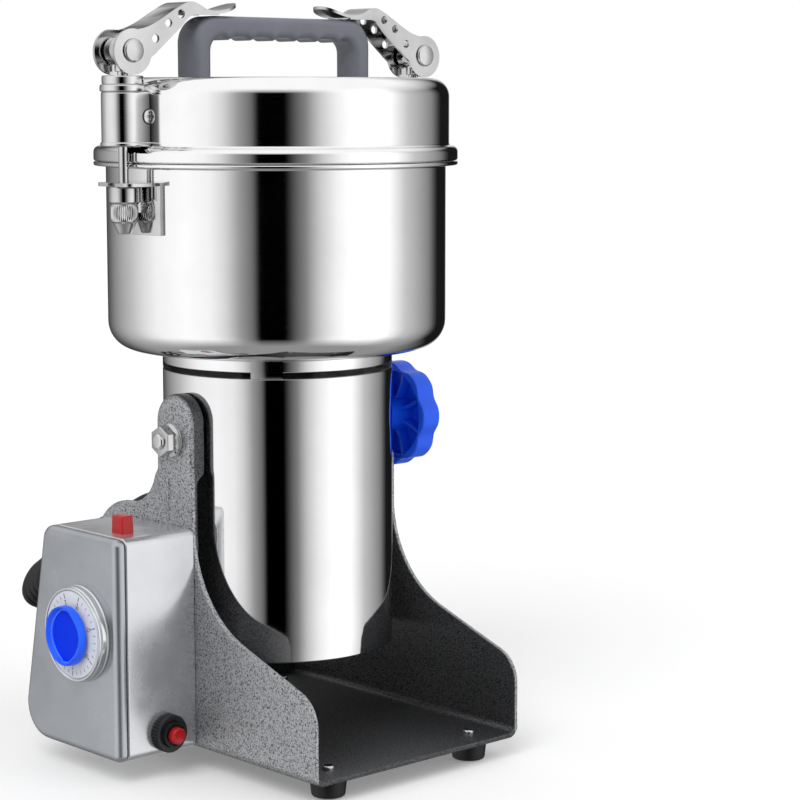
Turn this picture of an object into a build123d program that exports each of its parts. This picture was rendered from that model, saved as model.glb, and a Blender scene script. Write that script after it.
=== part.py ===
"""Swing-type electric grain mill: a tilting motor pod with a clamped steel bowl on a pressed base.

Millimetres. +Z is up, the front faces -Y. The origin is on the table, under the middle of the
whole machine; the bowl's axis stands at (AXIS_X, AXIS_Y).
"""
import os

from build123d import *

os.makedirs("parts", exist_ok=True)

# ---------------------------------------------------------------- fits and clearances
RUN = 0.05          # radial clearance of a shaft or pin that turns or slides in a bore
SNUG = 0.05         # radial clearance of a round piece that is fixed in its seat
AIR = 0.3           # gap between faces of pieces that move past each other

# ---------------------------------------------------------------- base: one bent sheet
SHEET = 3.0
BASE_W = 161.0
BASE_FRONT = 127.4  # from the bowl's axis to the front edge
BASE_REAR = 82.0
BEND_R = 7.0
FOOT_H = 12.0
NOSE_Z = 59.2       # height at which the sloping top edge would meet the front edge
NOSE_R = 20.0
NECK_Z = 97.6       # height at which the sloping top edge would meet the ear
NECK_R = 66.0
EAR_HALF = 17.5
EAR_RISE = 26.8     # from the pivot to the top of the ear
EAR_GAP = 0.8       # between the flange turned in around the ear and the pod
EAR_FLANGE_DROP = 20.0  # how far the flange runs down below the pivot
LIP_DEPTH = 4.5
LIP_LENGTH = 34.0
SHOULDER_Z = 153.3
SHOULDER_IN_R = 26.0
SHOULDER_OUT_R = 38.0
BEAD_W = 3.0
BEAD_L = 26.0
BEAD_H = 0.8
BEAD_Z = 146.0
BEAD_BACK = 5.5
WIRE_HOLE_R = 7.0
WIRE_HOLE_Z = 70.0

FOOT_R = 11.0
FOOT_TAPER = 6.0
FOOT_INSET = 24.6   # from the base's side to the foot's centre
FOOT_FRONT = 17.4   # from the front edge to the foot's centre
FOOT_SCREW_R = 2.0
FOOT_HEAD_R = 3.6
FOOT_HEAD_H = 2.4
FOOT_EDGE = 1.5
FOOT_WELL = 4.0     # how far the screw ends up inside the foot
FOOT_WELL_AIR = 1.0

# ---------------------------------------------------------------- tilt pivot
PIVOT_Z = 195.2
STUD_R = 5.0
STUD_HEAD_R = 8.0
STUD_HEAD_T = 3.0
STUD_HEAD_AIR = 1.3
BOSS_R = 12.0
WASHER_R = 10.0
WASHER_T = 1.6
NUT_AF = 16.0
NUT_T = 8.0
NUT_FLANGE_T = 1.6
NUT_FLANGE_R = 10.0
STUD_TIP = 2.6      # how far the stud's dome stands out of the nut
KNOB_R = 33.5
KNOB_T = 15.5
KNOB_REACH = 8.5    # length of the hub between the washer and the knob's rim
KNOB_HUB_R = 11.0
KNOB_WALL = 3.0
KNOB_FACE = 4.0
KNOB_RIB = 1.8
KNOB_RIB_DROP = 3.0
KNOB_LOBES = 8
KNOB_LOBE_ROUND = 2.0
KNOB_EDGE = 1.6
KNOB_LAP = 1.0      # how far a rib reaches into the wall and the face
FLUTE_R = 9.0
FLUTE_DEPTH = 2.4

# ---------------------------------------------------------------- motor pod
POD_GAP = 7.8       # between a side plate and the pod
SHELL_WALL = 1.2
SHELL_DROP = 130.9  # from the pivot down to the shell's bottom
SHELL_RISE = 37.7   # from the pivot up to the shell's top
SHELL_EDGE = 1.0
GROOVE = 3.4        # air gap between the shell and the collar's ring
RING_H = 6.9
RING_GAP = 1.8      # air gap between the collar's ring and the bowl
RING_W = 9.0
RING_STEP = 0.5     # the ring lies this far inside the shell
PILLAR_W = 19.0
PILLARS = 4

# ---------------------------------------------------------------- bowl and lid
BOWL_R = 102.0
BOWL_WALL = 1.8
BOWL_H = 112.2
BOWL_CORNER = 17.0
FLANGE_OUT = 7.2    # how far the bowl's and the lid's flanges stand out of the bowl
BOWL_LIP = 2.4
LIP_SHARE = 0.4     # rounding of the lip, as a share of its thickness
SEAL_W = 3.6
SEAL_H = 3.0
SEAL_IN = 1.0       # the seal lies this far inside the flange's middle
LID_OUT = 2.0       # how far the lid's side stands out of the bowl
LID_WALL = 1.6
LID_H = 49.0        # from the bowl's rim to the lid's top
LID_CORNER = 11.0
LID_FLANGE_H = 8.8
LID_FLANGE_ROUND = 3.8

# ---------------------------------------------------------------- carrying handle
HANDLE_L = 135.0
HANDLE_W = 21.0
HANDLE_H = 35.5
HANDLE_LEG = 12.0
HANDLE_GRIP = 12.6
HANDLE_OUT_R = 17.0
HANDLE_IN_R = 10.0
HANDLE_ROUND = 2.8
FINGERS = 4
FINGER_PITCH = 24.0
FINGER_R = 20.0
FINGER_DEPTH = 2.6
HANDLE_SCREW_R = 2.5
HANDLE_HEAD_R = 5.0
HANDLE_HEAD_T = 2.5
HANDLE_SCREW_AIR = 1.0
HANDLE_SCREW_X = HANDLE_L / 2 - HANDLE_LEG / 2

# ---------------------------------------------------------------- over-centre latches
ROD_R = 3.0
ROD_GAP = 0.4       # between the rod and the lid's flange
BLOCK_GAP = 0.7     # between the lid's flange and the guide block
BLOCK_R = 12.4
BLOCK_H = 31.0
BLOCK_BEVEL = 2.0
CAP_R = 13.1
CAP_H = 3.9
THRUST_R = 11.9
THRUST_H = 5.1
CAM_R = 12.9
CAM_OFFSET = 0.65   # the cam's centre lies this far below the pin, which gives the clamping stroke
CAM_AIR = 0.3
LEVER_HALF = 10.5
LEVER_SHEET = 1.8
LEVER_HOLE_R = 2.5
LEVER_HOLES = ((-15.9, 7.0), (-25.2, 16.0), (-34.3, 21.3))  # from the pin: in, up
LEVER_LENGTH = 79.5  # from the pin to the thumb tab's end
PIN_R = 4.0
PIN_HEAD_R = 6.7
PIN_HEAD_T = 2.4
PIN_HEAD_ROUND = 1.9
EYE_R = 8.0
EYE_HALF = 7.0
NECK_ROD_R = 4.5
NECK_LIFT = 2.0     # from the thrust ring up to the thicker neck
HOOK_DROP = 10.6    # from the bowl's rim down to the top of the notched tongue
TONGUE_T = 2.2
TONGUE_REACH = 9.0  # from the rod's axis out to the tongue's edge
TONGUE_HALF = 16.0
TONGUE_CORNER = 5.0
NOTCH_R = 3.5
PLATE_T = 2.0
PLATE_HALF = 20.0
PLATE_H = 30.0
WINDOW_HALF = 12.5
WINDOW_H = 15.0
NUT_FLARE_R = 9.1
NUT_FLARE_H = 9.6
NUT_BODY_R = 7.8
NUT_BODY_H = 10.4
NUT_BEVEL = 1.0
NUT_STEP = 0.6
NUT_TIP_H = 7.0
NUT_TAPER = 24.0
KNURLS = 24
KNURL_R = 0.7
KNURL_OUT = 0.3     # how far outside the nut the knurls are centred

# ---------------------------------------------------------------- control box
BOX_FRONT = 19.7
BOX_BOTTOM = 13.6
BOX_TOP = 144.5
BOX_REAR = 80.5
BOX_REAR_TOP = 54.5
BOX_REAR_R = 20.0
BOX_TOP_R = 8.0
BOX_FRONT_R = 3.0
BOX_DEPTH = 49.0
BOX_WALL = 1.5
SEAM = 0.9
RIM_IN = 1.6        # how far the body's rim stands inside the cover
COVER_T = 6.2
COVER_ROUND = 3.2

TIMER_BACK = 15.9   # the dial's centre, behind the bowl's axis
TIMER_Z = 85.5
BEZEL_R = 28.6
BEZEL_T = 7.0
BEZEL_LIP = 2.4
DIAL_RECESS = 1.0
DIAL_T = 0.6
TIMER_KNOB_R = 18.2
TIMER_SKIRT = 3.2
TIMER_GRIP_H = 8.4
TIMER_GRIP_W = 9.0
TIMER_GRIP_L = 16.6
TIMER_SHAFT_R = 3.0
SHAFT_HOLE_AIR = 1.0
BEZEL_EDGE = 1.6
KNOB_SKIRT_EDGE = 1.2
KNOB_GRIP_EDGE = 1.5
GRIP_LAP = 0.2
TIMER_SHAFT_IN = 8.0  # how far the shaft reaches into the timer
SHAFT_END_AIR = 1.0
TIMER_BODY_ROUND = 4.0
TIMER_BODY = 42.0
TIMER_BODY_D = 30.0

BUTTON_IN = 12.0    # from the box's outer edge to the power button
BUTTON_ROUND = 0.8
BUTTON_EDGE = 1.0
BUTTON_X = 9.2
BUTTON_Y = 11.6
BUTTON_H = 10.4
BUTTON_TRAVEL = 3.0
SWITCH_S = 19.0
SWITCH_H = 22.0
SWITCH_DEEP = 12.0  # how far the button reaches down into the switch

BREAKER_IN = 26.7   # from the box's outer edge to the reset button
BREAKER_Z = 27.1
BREAKER_NUT_R = 11.2
BREAKER_NUT_T = 6.2
BREAKER_BUSH_R = 7.4
BREAKER_BUSH_L = 9.2
BREAKER_BUTTON_R = 4.9
BREAKER_BUTTON_OUT = 4.0
BREAKER_BUTTON_EDGE = 1.2
BREAKER_TRAVEL = 2.5
BREAKER_BODY = 18.0
BREAKER_BODY_L = 34.0

GLAND_Z = 106.0
GLAND_IN = 33.5     # from the box's outer edge to the cord's gland
GLAND_R = 7.5
GLAND_FLANGE_T = 2.0
GLAND_L = 9.0
GLAND_STEP = 1.5    # the flange stands out, and the shank in, by this much
GLAND_TAPER = 8.0
CORD_R = 3.25
HANK_LOOPS = 5      # folded loops side by side in the hank
HANK_RUN = 96.0     # length of the hank's straight runs
HANK_W = 35.0
HANK_CENTRE = (-22.0, 153.4, 99.6)  # out from the bowl's axis, back, height
HANK_AXIS = (0.945, 0.060, 0.322)
HANK_FACE = (-0.109, -0.870, 0.482)
STUB_L = 42.0       # from the gland to the lead's corner
LEAD_BEND = 33.0
LEAD_IN = 30.0      # where the lead ends in the hank, before its middle
TIE_W = 7.0
TIE_T = 1.2
TAIL_DROP = 54.0
TAIL_BEND = 34.0
TAIL_FLAT = 42.0
TAIL_OUT = 36.0
PLUG_R = 11.0
PLUG_L = 38.0
PLUG_NECK_R = 6.0
PLUG_NECK_L = 12.0
PLUG_NECK_LAP = 6.0
PLUG_NECK_TAPER = 6.0
PLUG_EDGE = 2.0
PIN_LENGTH = 18.0
PIN_ROUND_R = 2.3
PIN_PITCH = 12.0

# ---------------------------------------------------------------- motor and blades
SHAFT_R = 6.0
SHAFT_AIR = 2.0     # between the shaft and what it only passes through
SHAFT_TOP = 1.5     # how far the shaft stands out of the blade nut
SHAFT_BEVEL = 1.0
BEARING_R = 16.0
BEARING_H = 10.0
SEAT_WALL = 4.0     # wall round the lower bearing
PASSAGE_R = 9.0     # air holes in the lower bearing plate
PLATE_TOP_T = 12.0
LOWER_PLATE_UP = 20.0  # lower bearing plate, above the shell's bottom
LOWER_PLATE_T = 5.0
HOUSING_R = 22.0
SEAL_R = 13.0
SEAL_T = 6.0
NECK_WALL = 2.0     # wall of the housing round the seal
CORE_H = 55.0
CORE_UP = 58.0      # stator core, above the shell's bottom
CORE_R = 58.0
CORE_BORE = 28.2
YOKE = 12.0
POLE_W = 34.0
CORE_KEYS = 4
CORE_KEY_W = 12.0   # the four lands that carry the core in the shell
CORE_KEY_IN = 2.0   # how far a land reaches into the core
POLE_IN = 1.0       # how far a pole reaches into the yoke
COIL_AIR = 1.0
END_TURN_ROUND = 5.0
COIL_END = 11.0
ARMATURE_GAP = 0.8
END_TURN_R = 23.0
COMMUTATOR_R = 15.0
COMMUTATOR_H = 16.0
COMMUTATOR_GAP = 8.0
BRUSH_W = 7.0
BRUSH_AIR = 0.2
HOLDER_W = 11.0
HOLDER_L = 26.0
HOLDER_AIR = 2.0    # between the commutator and a brush holder
HOLDER_WALL = 4.0
FAN_R = 52.0
FAN_HUB_R = 12.0
FAN_H = 11.0
FAN_BLADES = 10
FAN_BLADE_T = 1.6
FAN_AIR = 3.0       # between the lower plate and the fan
FAN_EDGE = 1.0      # how far the fan blades stay inside the disc
CAP_T = 2.0
CAP_RIM = 8.0
VENTS = 16
VENT_W = 3.4
VENT_SHARE = 0.42   # length of a vent, and below its place, as shares of the shell
VENT_MIDDLE = 0.55
BLADE_T = 3.0
BLADE_ROOT = 18.0
BLADE_TIP = 10.0
LOWER_BLADE_R = 86.0
UPPER_BLADE_R = 66.0
BLADE_BEVEL = 2.0
HUB_R = 12.0
LOWER_LIFT = 7.0    # lower blade, above the bowl's floor
BLADE_PITCH = 15.0  # from the lower blade to the upper one
BLADE_NUT_AF = 17.0
BLADE_NUT_H = 8.0

# ---------------------------------------------------------------- heights and places worked out
FLOOR_Z = FOOT_H + SHEET
EAR_TOP = PIVOT_Z + EAR_RISE
EAR_C = EAR_TOP - EAR_HALF
INNER_X = BASE_W / 2 - SHEET
OUTER_X = BASE_W / 2
SHELL_R = INNER_X - POD_GAP
FLANGE_R = BOWL_R + FLANGE_OUT
LID_R = BOWL_R + LID_OUT
EAR_FLANGE = SHEET + POD_GAP - EAR_GAP
SHELL_Z0 = PIVOT_Z - SHELL_DROP
SHELL_Z1 = PIVOT_Z + SHELL_RISE
SHELL_IN = SHELL_R - SHELL_WALL
RING_Z0 = SHELL_Z1 + GROOVE
RING_Z1 = RING_Z0 + RING_H
BOWL_Z0 = RING_Z1 + RING_GAP
BOWL_FLOOR = BOWL_Z0 + BOWL_WALL
RIM_Z = BOWL_Z0 + BOWL_H
LID_Z0 = RIM_Z + AIR
LID_FLANGE_Z = LID_Z0 + LID_FLANGE_H
LID_TOP = RIM_Z + LID_H
SEAL_MID = (LID_R - LID_WALL + FLANGE_R) / 2 - SEAL_IN
GRIP_Z = LID_TOP + HANDLE_H - HANDLE_GRIP
LATCH_X = FLANGE_R + ROD_R + ROD_GAP
BLOCK_Z0 = LID_FLANGE_Z + BLOCK_GAP
BLOCK_Z1 = BLOCK_Z0 + BLOCK_H
CAP_Z = BLOCK_Z1 + CAP_H
THRUST_Z = CAP_Z + THRUST_H
PIN_Z = THRUST_Z + CAM_AIR + CAM_R + CAM_OFFSET
LEVER_REST = LID_TOP + HANDLE_H + AIR - PIN_Z  # height of the closed lever over its pin
TONGUE_Z1 = RIM_Z - HOOK_DROP
TONGUE_Z0 = TONGUE_Z1 - TONGUE_T
NUT_Z1 = TONGUE_Z0 - AIR
NUT_Z0 = NUT_Z1 - NUT_FLARE_H - NUT_BODY_H - NUT_TIP_H
KNOB_X0 = OUTER_X + AIR + WASHER_T + KNOB_REACH
KNOB_X1 = KNOB_X0 + KNOB_T
BOX_X0 = OUTER_X
BOX_X1 = BOX_X0 + BOX_DEPTH
BUTTON_OUT = BOX_X1 - BUTTON_IN
BREAKER_OUT = BOX_X1 - BREAKER_IN
GLAND_OUT = BOX_X1 - GLAND_IN
COVER_X0 = BOX_X1 + SEAM
COVER_X1 = COVER_X0 + COVER_T
DIAL_X = COVER_X1 + BEZEL_T - DIAL_RECESS
TIMER_KNOB_X0 = COVER_X1 + BEZEL_T + AIR
TIMER_KNOB_X1 = TIMER_KNOB_X0 + TIMER_SKIRT + TIMER_GRIP_H
FOOT_X = BASE_W / 2 - FOOT_INSET
FOOT_SPOTS = [
    (side * FOOT_X, along)
    for side in (-1, 1)
    for along in (-(BASE_FRONT - FOOT_FRONT), BASE_REAR - FOOT_FRONT)
]
CORE_Z0 = SHELL_Z0 + CORE_UP
CORE_Z1 = CORE_Z0 + CORE_H
COMMUTATOR_Z0 = CORE_Z1 + COIL_END + COMMUTATOR_GAP
HOLDER_Z = COMMUTATOR_Z0 + HOLDER_AIR
LOWER_PLATE_Z = SHELL_Z0 + LOWER_PLATE_UP
TOP_PLATE_Z = SHELL_Z1 - PLATE_TOP_T
LOWER_BLADE_Z = BOWL_FLOOR + LOWER_LIFT
UPPER_BLADE_Z = LOWER_BLADE_Z + BLADE_PITCH
BLADE_NUT_Z = UPPER_BLADE_Z + BLADE_T

# The origin is under the middle of the whole: the timer knob reaches furthest left, the right
# latch furthest right, the base furthest forward and the lid's flange furthest back.
AXIS_X = (TIMER_KNOB_X1 - (LATCH_X + CAP_R)) / 2
AXIS_Y = (BASE_FRONT - FLANGE_R) / 2

TOP = Plane(origin=(AXIS_X, AXIS_Y, 0))                                        # x right, y back
FRONT = Plane(origin=(AXIS_X, AXIS_Y, 0), x_dir=(1, 0, 0), z_dir=(0, -1, 0))   # x right, y up
SIDE = Plane(origin=(AXIS_X, AXIS_Y, 0), x_dir=(0, -1, 0), z_dir=(-1, 0, 0))   # x forward, y up
MIN_Y = (Align.CENTER, Align.MIN)


GLAND_BACK = BOX_REAR_TOP + (BOX_REAR - BOX_REAR_TOP) * (BOX_TOP - GLAND_Z) / (BOX_TOP - BOX_BOTTOM)
GLAND_PLANE = Plane(
    origin=(AXIS_X - GLAND_OUT, AXIS_Y + GLAND_BACK, GLAND_Z), x_dir=(1, 0, 0),
    z_dir=(0, BOX_TOP - BOX_BOTTOM, BOX_REAR - BOX_REAR_TOP))


def tube(z0, z1, r_out, r_in=0.0, mode=Mode.ADD):
    """An upright ring or disc about the bowl's axis."""
    with BuildSketch(TOP.offset(z0)) as ring:
        Circle(r_out)
        if r_in:
            Circle(r_in, mode=Mode.SUBTRACT)
    extrude(ring.sketch, amount=z1 - z0, mode=mode)


def cross_tube(x0, x1, at, r_out, r_in=0.0, mode=Mode.ADD):
    """A ring or disc along X, from x0 to x1 (right is positive), centred at (forward, height)."""
    with BuildSketch(SIDE.offset(-x0)) as ring:
        with Locations(at):
            Circle(r_out)
            if r_in:
                Circle(r_in, mode=Mode.SUBTRACT)
    extrude(ring.sketch, amount=x0 - x1, mode=mode)


def keep(piece, name):
    """Label a finished piece and write its file."""
    piece.part.label = name
    export_step(piece.part, f"parts/{name}.step")


# ================================================================ base
def side_outline():
    """Face of a side plate, seen from the left: nose, swept neck, ear, shoulder and back."""
    corners = (
        ((BASE_FRONT, NOSE_Z), NOSE_R),
        ((EAR_HALF, NECK_Z), NECK_R),
        ((-EAR_HALF, SHOULDER_Z), SHOULDER_IN_R),
        ((-BASE_REAR, SHOULDER_Z), SHOULDER_OUT_R),
    )
    with BuildSketch(SIDE) as plate:
        with BuildLine():
            Polyline((-EAR_HALF, EAR_C), (-EAR_HALF, SHOULDER_Z), (-BASE_REAR, SHOULDER_Z),
                     (-BASE_REAR, FOOT_H), (BASE_FRONT, FOOT_H), (BASE_FRONT, NOSE_Z),
                     (EAR_HALF, NECK_Z), (EAR_HALF, EAR_C))
            ThreePointArc((EAR_HALF, EAR_C), (0, EAR_TOP), (-EAR_HALF, EAR_C))
        make_face()
        for corner, radius in corners:
            fillet(plate.vertices().sort_by_distance(corner + (0,))[0], radius)
    return plate.sketch


with BuildPart() as base_frame:
    with BuildSketch(FRONT.offset(BASE_FRONT)):
        with Locations((0, FOOT_H)):
            Rectangle(BASE_W, EAR_TOP - FOOT_H, align=MIN_Y)
    extrude(amount=-(BASE_FRONT + BASE_REAR))
    fillet(base_frame.edges().filter_by(Axis.Y).group_by(Axis.Z)[0], BEND_R)
    ends = base_frame.faces().filter_by(Axis.Y)
    offset(amount=-SHEET, openings=ends + [base_frame.faces().sort_by(Axis.Z)[-1]])
    extrude(side_outline(), amount=BASE_W, both=True, mode=Mode.INTERSECT)
    for side in (-1, 1):
        # the flange that is turned in around the ear
        with BuildSketch(SIDE.offset(-side * INNER_X)):
            for half, mode in ((EAR_HALF, Mode.ADD), (EAR_HALF - SHEET, Mode.SUBTRACT)):
                with Locations((0, PIVOT_Z - EAR_FLANGE_DROP)):
                    Rectangle(2 * half, EAR_C - PIVOT_Z + EAR_FLANGE_DROP, align=MIN_Y, mode=mode)
                with Locations((0, EAR_C)):
                    Circle(half, mode=mode)
        extrude(amount=side * (EAR_FLANGE - SHEET))
        # the shallower lip below it, along the front edge
        with BuildSketch(SIDE.offset(-side * INNER_X)):
            with Locations((EAR_HALF - SHEET, PIVOT_Z - EAR_FLANGE_DROP)):
                Rectangle(SHEET, LIP_LENGTH, align=(Align.MIN, Align.MAX))
        extrude(amount=side * (LIP_DEPTH - SHEET))
        # a pressed bead stiffens the neck
        with BuildSketch(SIDE.offset(-side * OUTER_X)):
            with Locations((-BEAD_BACK, BEAD_Z + BEAD_L / 2)):
                SlotOverall(BEAD_L, BEAD_W, rotation=90)
        extrude(amount=-side * BEAD_H)
    cross_tube(-BASE_W, BASE_W, (0, PIVOT_Z), STUD_R + RUN, mode=Mode.SUBTRACT)
    cross_tube(-BASE_W, 0, (0, WIRE_HOLE_Z), WIRE_HOLE_R, mode=Mode.SUBTRACT)
    with BuildSketch(TOP):
        with Locations(FOOT_SPOTS):
            Circle(FOOT_SCREW_R + SNUG)
    extrude(amount=FLOOR_Z + 1, mode=Mode.SUBTRACT)
keep(base_frame, "base_frame")

with BuildPart() as feet:
    with BuildSketch(TOP.offset(FOOT_H)):
        with Locations(FOOT_SPOTS):
            Circle(FOOT_R)
    extrude(amount=-FOOT_H, taper=FOOT_TAPER)
    fillet(feet.edges().group_by(Axis.Z)[0], FOOT_EDGE)
    with BuildSketch(TOP):
        with Locations(FOOT_SPOTS):
            Circle(FOOT_SCREW_R + SNUG)
    extrude(amount=FOOT_H, mode=Mode.SUBTRACT)
    with BuildSketch(TOP):
        with Locations(FOOT_SPOTS):
            Circle(FOOT_HEAD_R + FOOT_WELL_AIR)
    extrude(amount=FOOT_WELL, mode=Mode.SUBTRACT)
keep(feet, "feet")

with BuildPart() as foot_screws:
    with BuildSketch(TOP.offset(FLOOR_Z)):
        with Locations(FOOT_SPOTS):
            Circle(FOOT_HEAD_R)
    extrude(amount=FOOT_HEAD_H)
    fillet(foot_screws.edges().group_by(Axis.Z)[-1], FOOT_HEAD_H / 2)
    with BuildSketch(TOP.offset(FLOOR_Z)):
        with Locations(FOOT_SPOTS):
            Circle(FOOT_SCREW_R)
    extrude(amount=-(FLOOR_Z - FOOT_WELL))
keep(foot_screws, "foot_screws")


# ================================================================ motor pod
with BuildPart() as motor_shell:
    tube(SHELL_Z0, SHELL_Z1, SHELL_R)
    fillet(motor_shell.edges().group_by(Axis.Z)[0], SHELL_EDGE)
    for side in (-1, 1):
        cross_tube(0, side * (INNER_X - AIR), (0, PIVOT_Z), BOSS_R)
    tube(SHELL_Z0, SHELL_Z1, SHELL_IN, mode=Mode.SUBTRACT)
    cross_tube(-BASE_W, BASE_W, (0, PIVOT_Z), STUD_R + SNUG, mode=Mode.SUBTRACT)
keep(motor_shell, "motor_shell")

with BuildPart() as motor_cap:
    tube(SHELL_Z0, SHELL_Z0 + CAP_RIM, SHELL_IN - SNUG)
    tube(SHELL_Z0 + CAP_T, SHELL_Z0 + CAP_RIM, SHELL_IN - SNUG - CAP_T, mode=Mode.SUBTRACT)
    with BuildSketch(TOP.offset(SHELL_Z0)):
        with PolarLocations(SHELL_R * VENT_MIDDLE, VENTS):
            SlotOverall(SHELL_R * VENT_SHARE, VENT_W)
    extrude(amount=CAP_T, mode=Mode.SUBTRACT)
keep(motor_cap, "motor_cap")

with BuildPart() as lower_plate:
    tube(LOWER_PLATE_Z, LOWER_PLATE_Z + LOWER_PLATE_T, SHELL_IN - SNUG)
    tube(LOWER_PLATE_Z - BEARING_H, LOWER_PLATE_Z, BEARING_R + SEAT_WALL)
    tube(LOWER_PLATE_Z - BEARING_H, LOWER_PLATE_Z, BEARING_R + SNUG, mode=Mode.SUBTRACT)
    tube(LOWER_PLATE_Z - BEARING_H, LOWER_PLATE_Z + LOWER_PLATE_T, SHAFT_R + SHAFT_AIR, mode=Mode.SUBTRACT)
    with BuildSketch(TOP.offset(LOWER_PLATE_Z)):
        with PolarLocations((SHELL_IN + BEARING_R) / 2, VENTS // 2):
            Circle(PASSAGE_R)
    extrude(amount=LOWER_PLATE_T, mode=Mode.SUBTRACT)
keep(lower_plate, "lower_plate")

with BuildPart() as top_plate:
    tube(TOP_PLATE_Z, SHELL_Z1, SHELL_IN - SNUG)
    tube(TOP_PLATE_Z, TOP_PLATE_Z + BEARING_H, BEARING_R + SNUG, mode=Mode.SUBTRACT)
    tube(TOP_PLATE_Z, SHELL_Z1, SHAFT_R + SHAFT_AIR, mode=Mode.SUBTRACT)
keep(top_plate, "top_plate")

with BuildPart() as bearings:
    for z in (LOWER_PLATE_Z - BEARING_H, TOP_PLATE_Z):
        tube(z, z + BEARING_H, BEARING_R, SHAFT_R + RUN)
keep(bearings, "bearings")

with BuildPart() as collar:
    tube(RING_Z0, RING_Z1, SHELL_R - RING_STEP, SHELL_R - RING_W)
    with BuildSketch(TOP.offset(SHELL_Z1)):
        with PolarLocations(SHELL_R - RING_W / 2, PILLARS, start_angle=180 / PILLARS):
            Rectangle(RING_W, PILLAR_W)
    extrude(amount=BOWL_Z0 - SHELL_Z1)
    tube(SHELL_Z1, BOWL_Z0, SHELL_R, mode=Mode.INTERSECT)
keep(collar, "collar")

with BuildPart() as seal_housing:
    tube(SHELL_Z1, BOWL_Z0, HOUSING_R)
    tube(BOWL_Z0, BOWL_FLOOR + SEAL_T / 2, SEAL_R + NECK_WALL)
    tube(SHELL_Z1, BOWL_FLOOR + SEAL_T, SHAFT_R + SHAFT_AIR, mode=Mode.SUBTRACT)
    tube(BOWL_FLOOR - SEAL_T / 2, BOWL_FLOOR + SEAL_T, SEAL_R + SNUG, mode=Mode.SUBTRACT)
keep(seal_housing, "seal_housing")

with BuildPart() as shaft_seal:
    tube(BOWL_FLOOR - SEAL_T / 2, BOWL_FLOOR + SEAL_T / 2, SEAL_R, SHAFT_R + RUN)
keep(shaft_seal, "shaft_seal")

with BuildPart() as stator:
    tube(CORE_Z0, CORE_Z1, CORE_R, CORE_R - YOKE)
    with BuildSketch(TOP.offset(CORE_Z0)):
        with PolarLocations((CORE_R - CORE_KEY_IN + SHELL_IN) / 2, CORE_KEYS):
            Rectangle(SHELL_IN - CORE_R + CORE_KEY_IN, CORE_KEY_W)
        Rectangle(2 * (CORE_R - YOKE + POLE_IN), POLE_W)
        Circle(CORE_BORE, mode=Mode.SUBTRACT)
    extrude(amount=CORE_H)
    tube(CORE_Z0, CORE_Z1, SHELL_IN - SNUG, mode=Mode.INTERSECT)
keep(stator, "stator")

with BuildPart() as field_coils:
    with BuildSketch(TOP.offset(CORE_Z0 - COIL_END)):
        Circle(CORE_R - YOKE - SNUG)
        Circle(CORE_BORE + COIL_AIR, mode=Mode.SUBTRACT)
        Rectangle(2 * CORE_R, POLE_W + COIL_AIR, mode=Mode.SUBTRACT)
    extrude(amount=CORE_H + 2 * COIL_END)
keep(field_coils, "field_coils")

with BuildPart() as brush_holders:
    for side in (-1, 1):
        with BuildSketch(FRONT.offset(-HOLDER_W / 2)):
            with Locations((side * (COMMUTATOR_R + HOLDER_AIR), HOLDER_Z)):
                Rectangle(HOLDER_L, HOLDER_W, align=(Align.MIN if side > 0 else Align.MAX, Align.MIN))
            with Locations((side * (COMMUTATOR_R + HOLDER_AIR + HOLDER_L), HOLDER_Z)):
                Rectangle(HOLDER_WALL, TOP_PLATE_Z - HOLDER_Z,
                          align=(Align.MAX if side > 0 else Align.MIN, Align.MIN))
        extrude(amount=HOLDER_W)
    with BuildSketch(FRONT.offset(-BRUSH_W / 2 - SNUG)):
        with Locations((0, HOLDER_Z + (HOLDER_W - BRUSH_W) / 2 - SNUG)):
            Rectangle(2 * (COMMUTATOR_R + HOLDER_L - HOLDER_WALL), BRUSH_W + 2 * SNUG, align=MIN_Y)
    extrude(amount=BRUSH_W + 2 * SNUG, mode=Mode.SUBTRACT)
keep(brush_holders, "brush_holders")

with BuildPart() as carbon_brushes:
    with BuildSketch(FRONT.offset(-BRUSH_W / 2)):
        with Locations((0, HOLDER_Z + (HOLDER_W - BRUSH_W) / 2)):
            Rectangle(2 * (COMMUTATOR_R + HOLDER_L - 2 * HOLDER_WALL), BRUSH_W, align=MIN_Y)
    extrude(amount=BRUSH_W)
    tube(COMMUTATOR_Z0, TOP_PLATE_Z, COMMUTATOR_R + BRUSH_AIR, mode=Mode.SUBTRACT)
keep(carbon_brushes, "carbon_brushes")


# ================================================================ rotor and blades
with BuildPart() as motor_shaft:
    tube(LOWER_PLATE_Z - BEARING_H, BLADE_NUT_Z + BLADE_NUT_H + SHAFT_TOP, SHAFT_R)
    chamfer(motor_shaft.edges().group_by(Axis.Z)[-1], SHAFT_BEVEL)
keep(motor_shaft, "motor_shaft")

with BuildPart() as armature:
    tube(CORE_Z0, CORE_Z1, CORE_BORE - ARMATURE_GAP)
    tube(CORE_Z0 - COIL_END, CORE_Z1 + COIL_END, END_TURN_R)
    fillet(armature.edges().group_by(Axis.Z)[-1], END_TURN_ROUND)
    fillet(armature.edges().group_by(Axis.Z)[0], END_TURN_ROUND)
    tube(CORE_Z0 - COIL_END, CORE_Z1 + COIL_END, SHAFT_R + SNUG, mode=Mode.SUBTRACT)
keep(armature, "armature")

with BuildPart() as commutator:
    tube(COMMUTATOR_Z0, COMMUTATOR_Z0 + COMMUTATOR_H, COMMUTATOR_R, SHAFT_R + SNUG)
keep(commutator, "commutator")

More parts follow.
